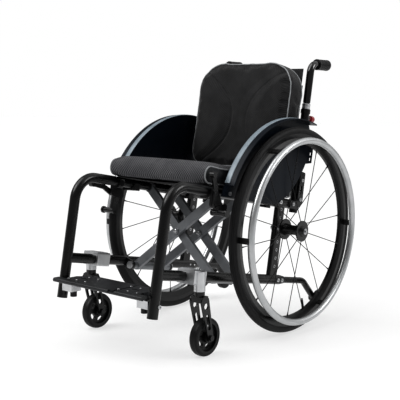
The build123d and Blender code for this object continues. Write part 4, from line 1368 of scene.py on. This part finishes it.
@dataclass
class Studio:
    """Pale floor, soft light and the camera."""

    palette: Palette
    eye: tuple[float, float, float] = (1.5686, -1.8917, 0.6482)
    turn: tuple[float, float, float] = (83.66, 0.0, 39.95)
    roll: float = 1.15
    lens: float = 75.9
    room: float = 0.3
    contrast: float = 0.8
    floor_glow: float = 0.66

    def build(self) -> None:
        """Build the stage, the lights and the camera."""
        deselect()
        bpy.ops.mesh.primitive_plane_add(size=60.0)
        floor = named("studio_floor")
        floor.data.materials.append(self.palette[FLOOR])
        shader = self.palette[FLOOR].node_tree.nodes["Principled BSDF"]
        shader.inputs["Emission Color"].default_value = (1.0, 1.0, 1.0, 1.0)
        shader.inputs["Emission Strength"].default_value = self.floor_glow
        self.surroundings()
        self.softbox("key_light", (-1.6, -2.6, 3.0), 1.6, 40.0)
        self.softbox("rim_light", (2.6, 1.4, 2.2), 1.2, 30.0)
        self.sun("high_sun", (24.0, -20.0, 0.0), 2.1, 60.0)
        self.sun("low_sun", (-34.0, 28.0, 0.0), 0.9, 80.0)
        bpy.context.scene.view_settings.view_transform = "Standard"
        bpy.context.scene.view_settings.gamma = self.contrast
        self.camera()

    def surroundings(self) -> None:
        """Add a dim grey room that the lens sees as white paper."""
        world = bpy.data.worlds.new("studio")
        bpy.context.scene.world = world
        world.use_nodes = True
        tree = world.node_tree
        room = tree.nodes["Background"]
        room.inputs["Color"].default_value = (1.0, 1.0, 1.0, 1.0)
        room.inputs["Strength"].default_value = self.room
        paper = add_node(tree, "ShaderNodeBackground", {"Strength": 1.0})
        paper.inputs["Color"].default_value = (1.0, 1.0, 1.0, 1.0)
        ray = add_node(tree, "ShaderNodeLightPath")
        mix = add_node(
            tree,
            "ShaderNodeMixShader",
            {},
            {0: ray.outputs["Is Camera Ray"], 1: room.outputs[0], 2: paper.outputs[0]},
        )
        tree.links.new(mix.outputs[0], tree.nodes["World Output"].inputs["Surface"])

    def sun(self, name: str, tilt: tuple[float, float, float], strength: float, spread: float) -> None:
        """Add one wide soft light from far off.

        Args:
            name: the light's name.
            tilt: its turn in degrees.
            strength: its strength.
            spread: how wide its disc looks, in degrees.
        """
        light = bpy.data.lights.new(name, "SUN")
        light.energy = strength
        light.angle = math.radians(spread)
        lamp = bpy.data.objects.new(name, light)
        bpy.context.scene.collection.objects.link(lamp)
        lamp.rotation_euler = [math.radians(angle) for angle in tilt]

    def softbox(self, name: str, place: tuple[float, float, float], size: float, power: float) -> None:
        """Add one square soft light that faces the chair.

        Args:
            name: the light's name.
            place: where it stands.
            size: its side in metres.
            power: its power in watts.
        """
        light = bpy.data.lights.new(name, "AREA")
        light.size = size
        light.energy = power
        lamp = bpy.data.objects.new(name, light)
        bpy.context.scene.collection.objects.link(lamp)
        lamp.location = place
        aim = Vector((0.0, 0.0, 0.35)) - Vector(place)
        lamp.rotation_euler = aim.to_track_quat("-Z", "Y").to_euler()

    def camera(self) -> None:
        """Add the camera and look through it."""
        data = bpy.data.cameras.new("camera")
        data.lens = self.lens
        data.sensor_width = 36.0
        eye = bpy.data.objects.new("camera", data)
        bpy.context.scene.collection.objects.link(eye)
        turn = [math.radians(angle) for angle in self.turn]
        view = Matrix.LocRotScale(Vector(self.eye), None, None)
        look = Matrix.Rotation(turn[2], 4, "Z") @ Matrix.Rotation(turn[0], 4, "X")
        eye.matrix_world = view @ look @ Matrix.Rotation(math.radians(self.roll), 4, "Z")
        bpy.context.scene.camera = eye


def main() -> None:
    """Build every sub-assembly and report each piece."""
    logging.basicConfig(level=logging.INFO, format="%(message)s")
    palette = Palette()
    CadFinishes(palette).build()
    for side in Side:
        RearTyre(side, palette).build()
        CasterTyre(side, palette).build()
        HandleCollar(side, palette).build()
        GuardTrim(side, palette).build()
        FootplateRivets(side, palette).build()
    BraceCaps(palette).build()
    SeatCushion(palette).build()
    BackCushion(palette).build()
    Slings(palette).build()
    Studio(palette).build()
    deselect()


if __name__ == "__main__":
    main()
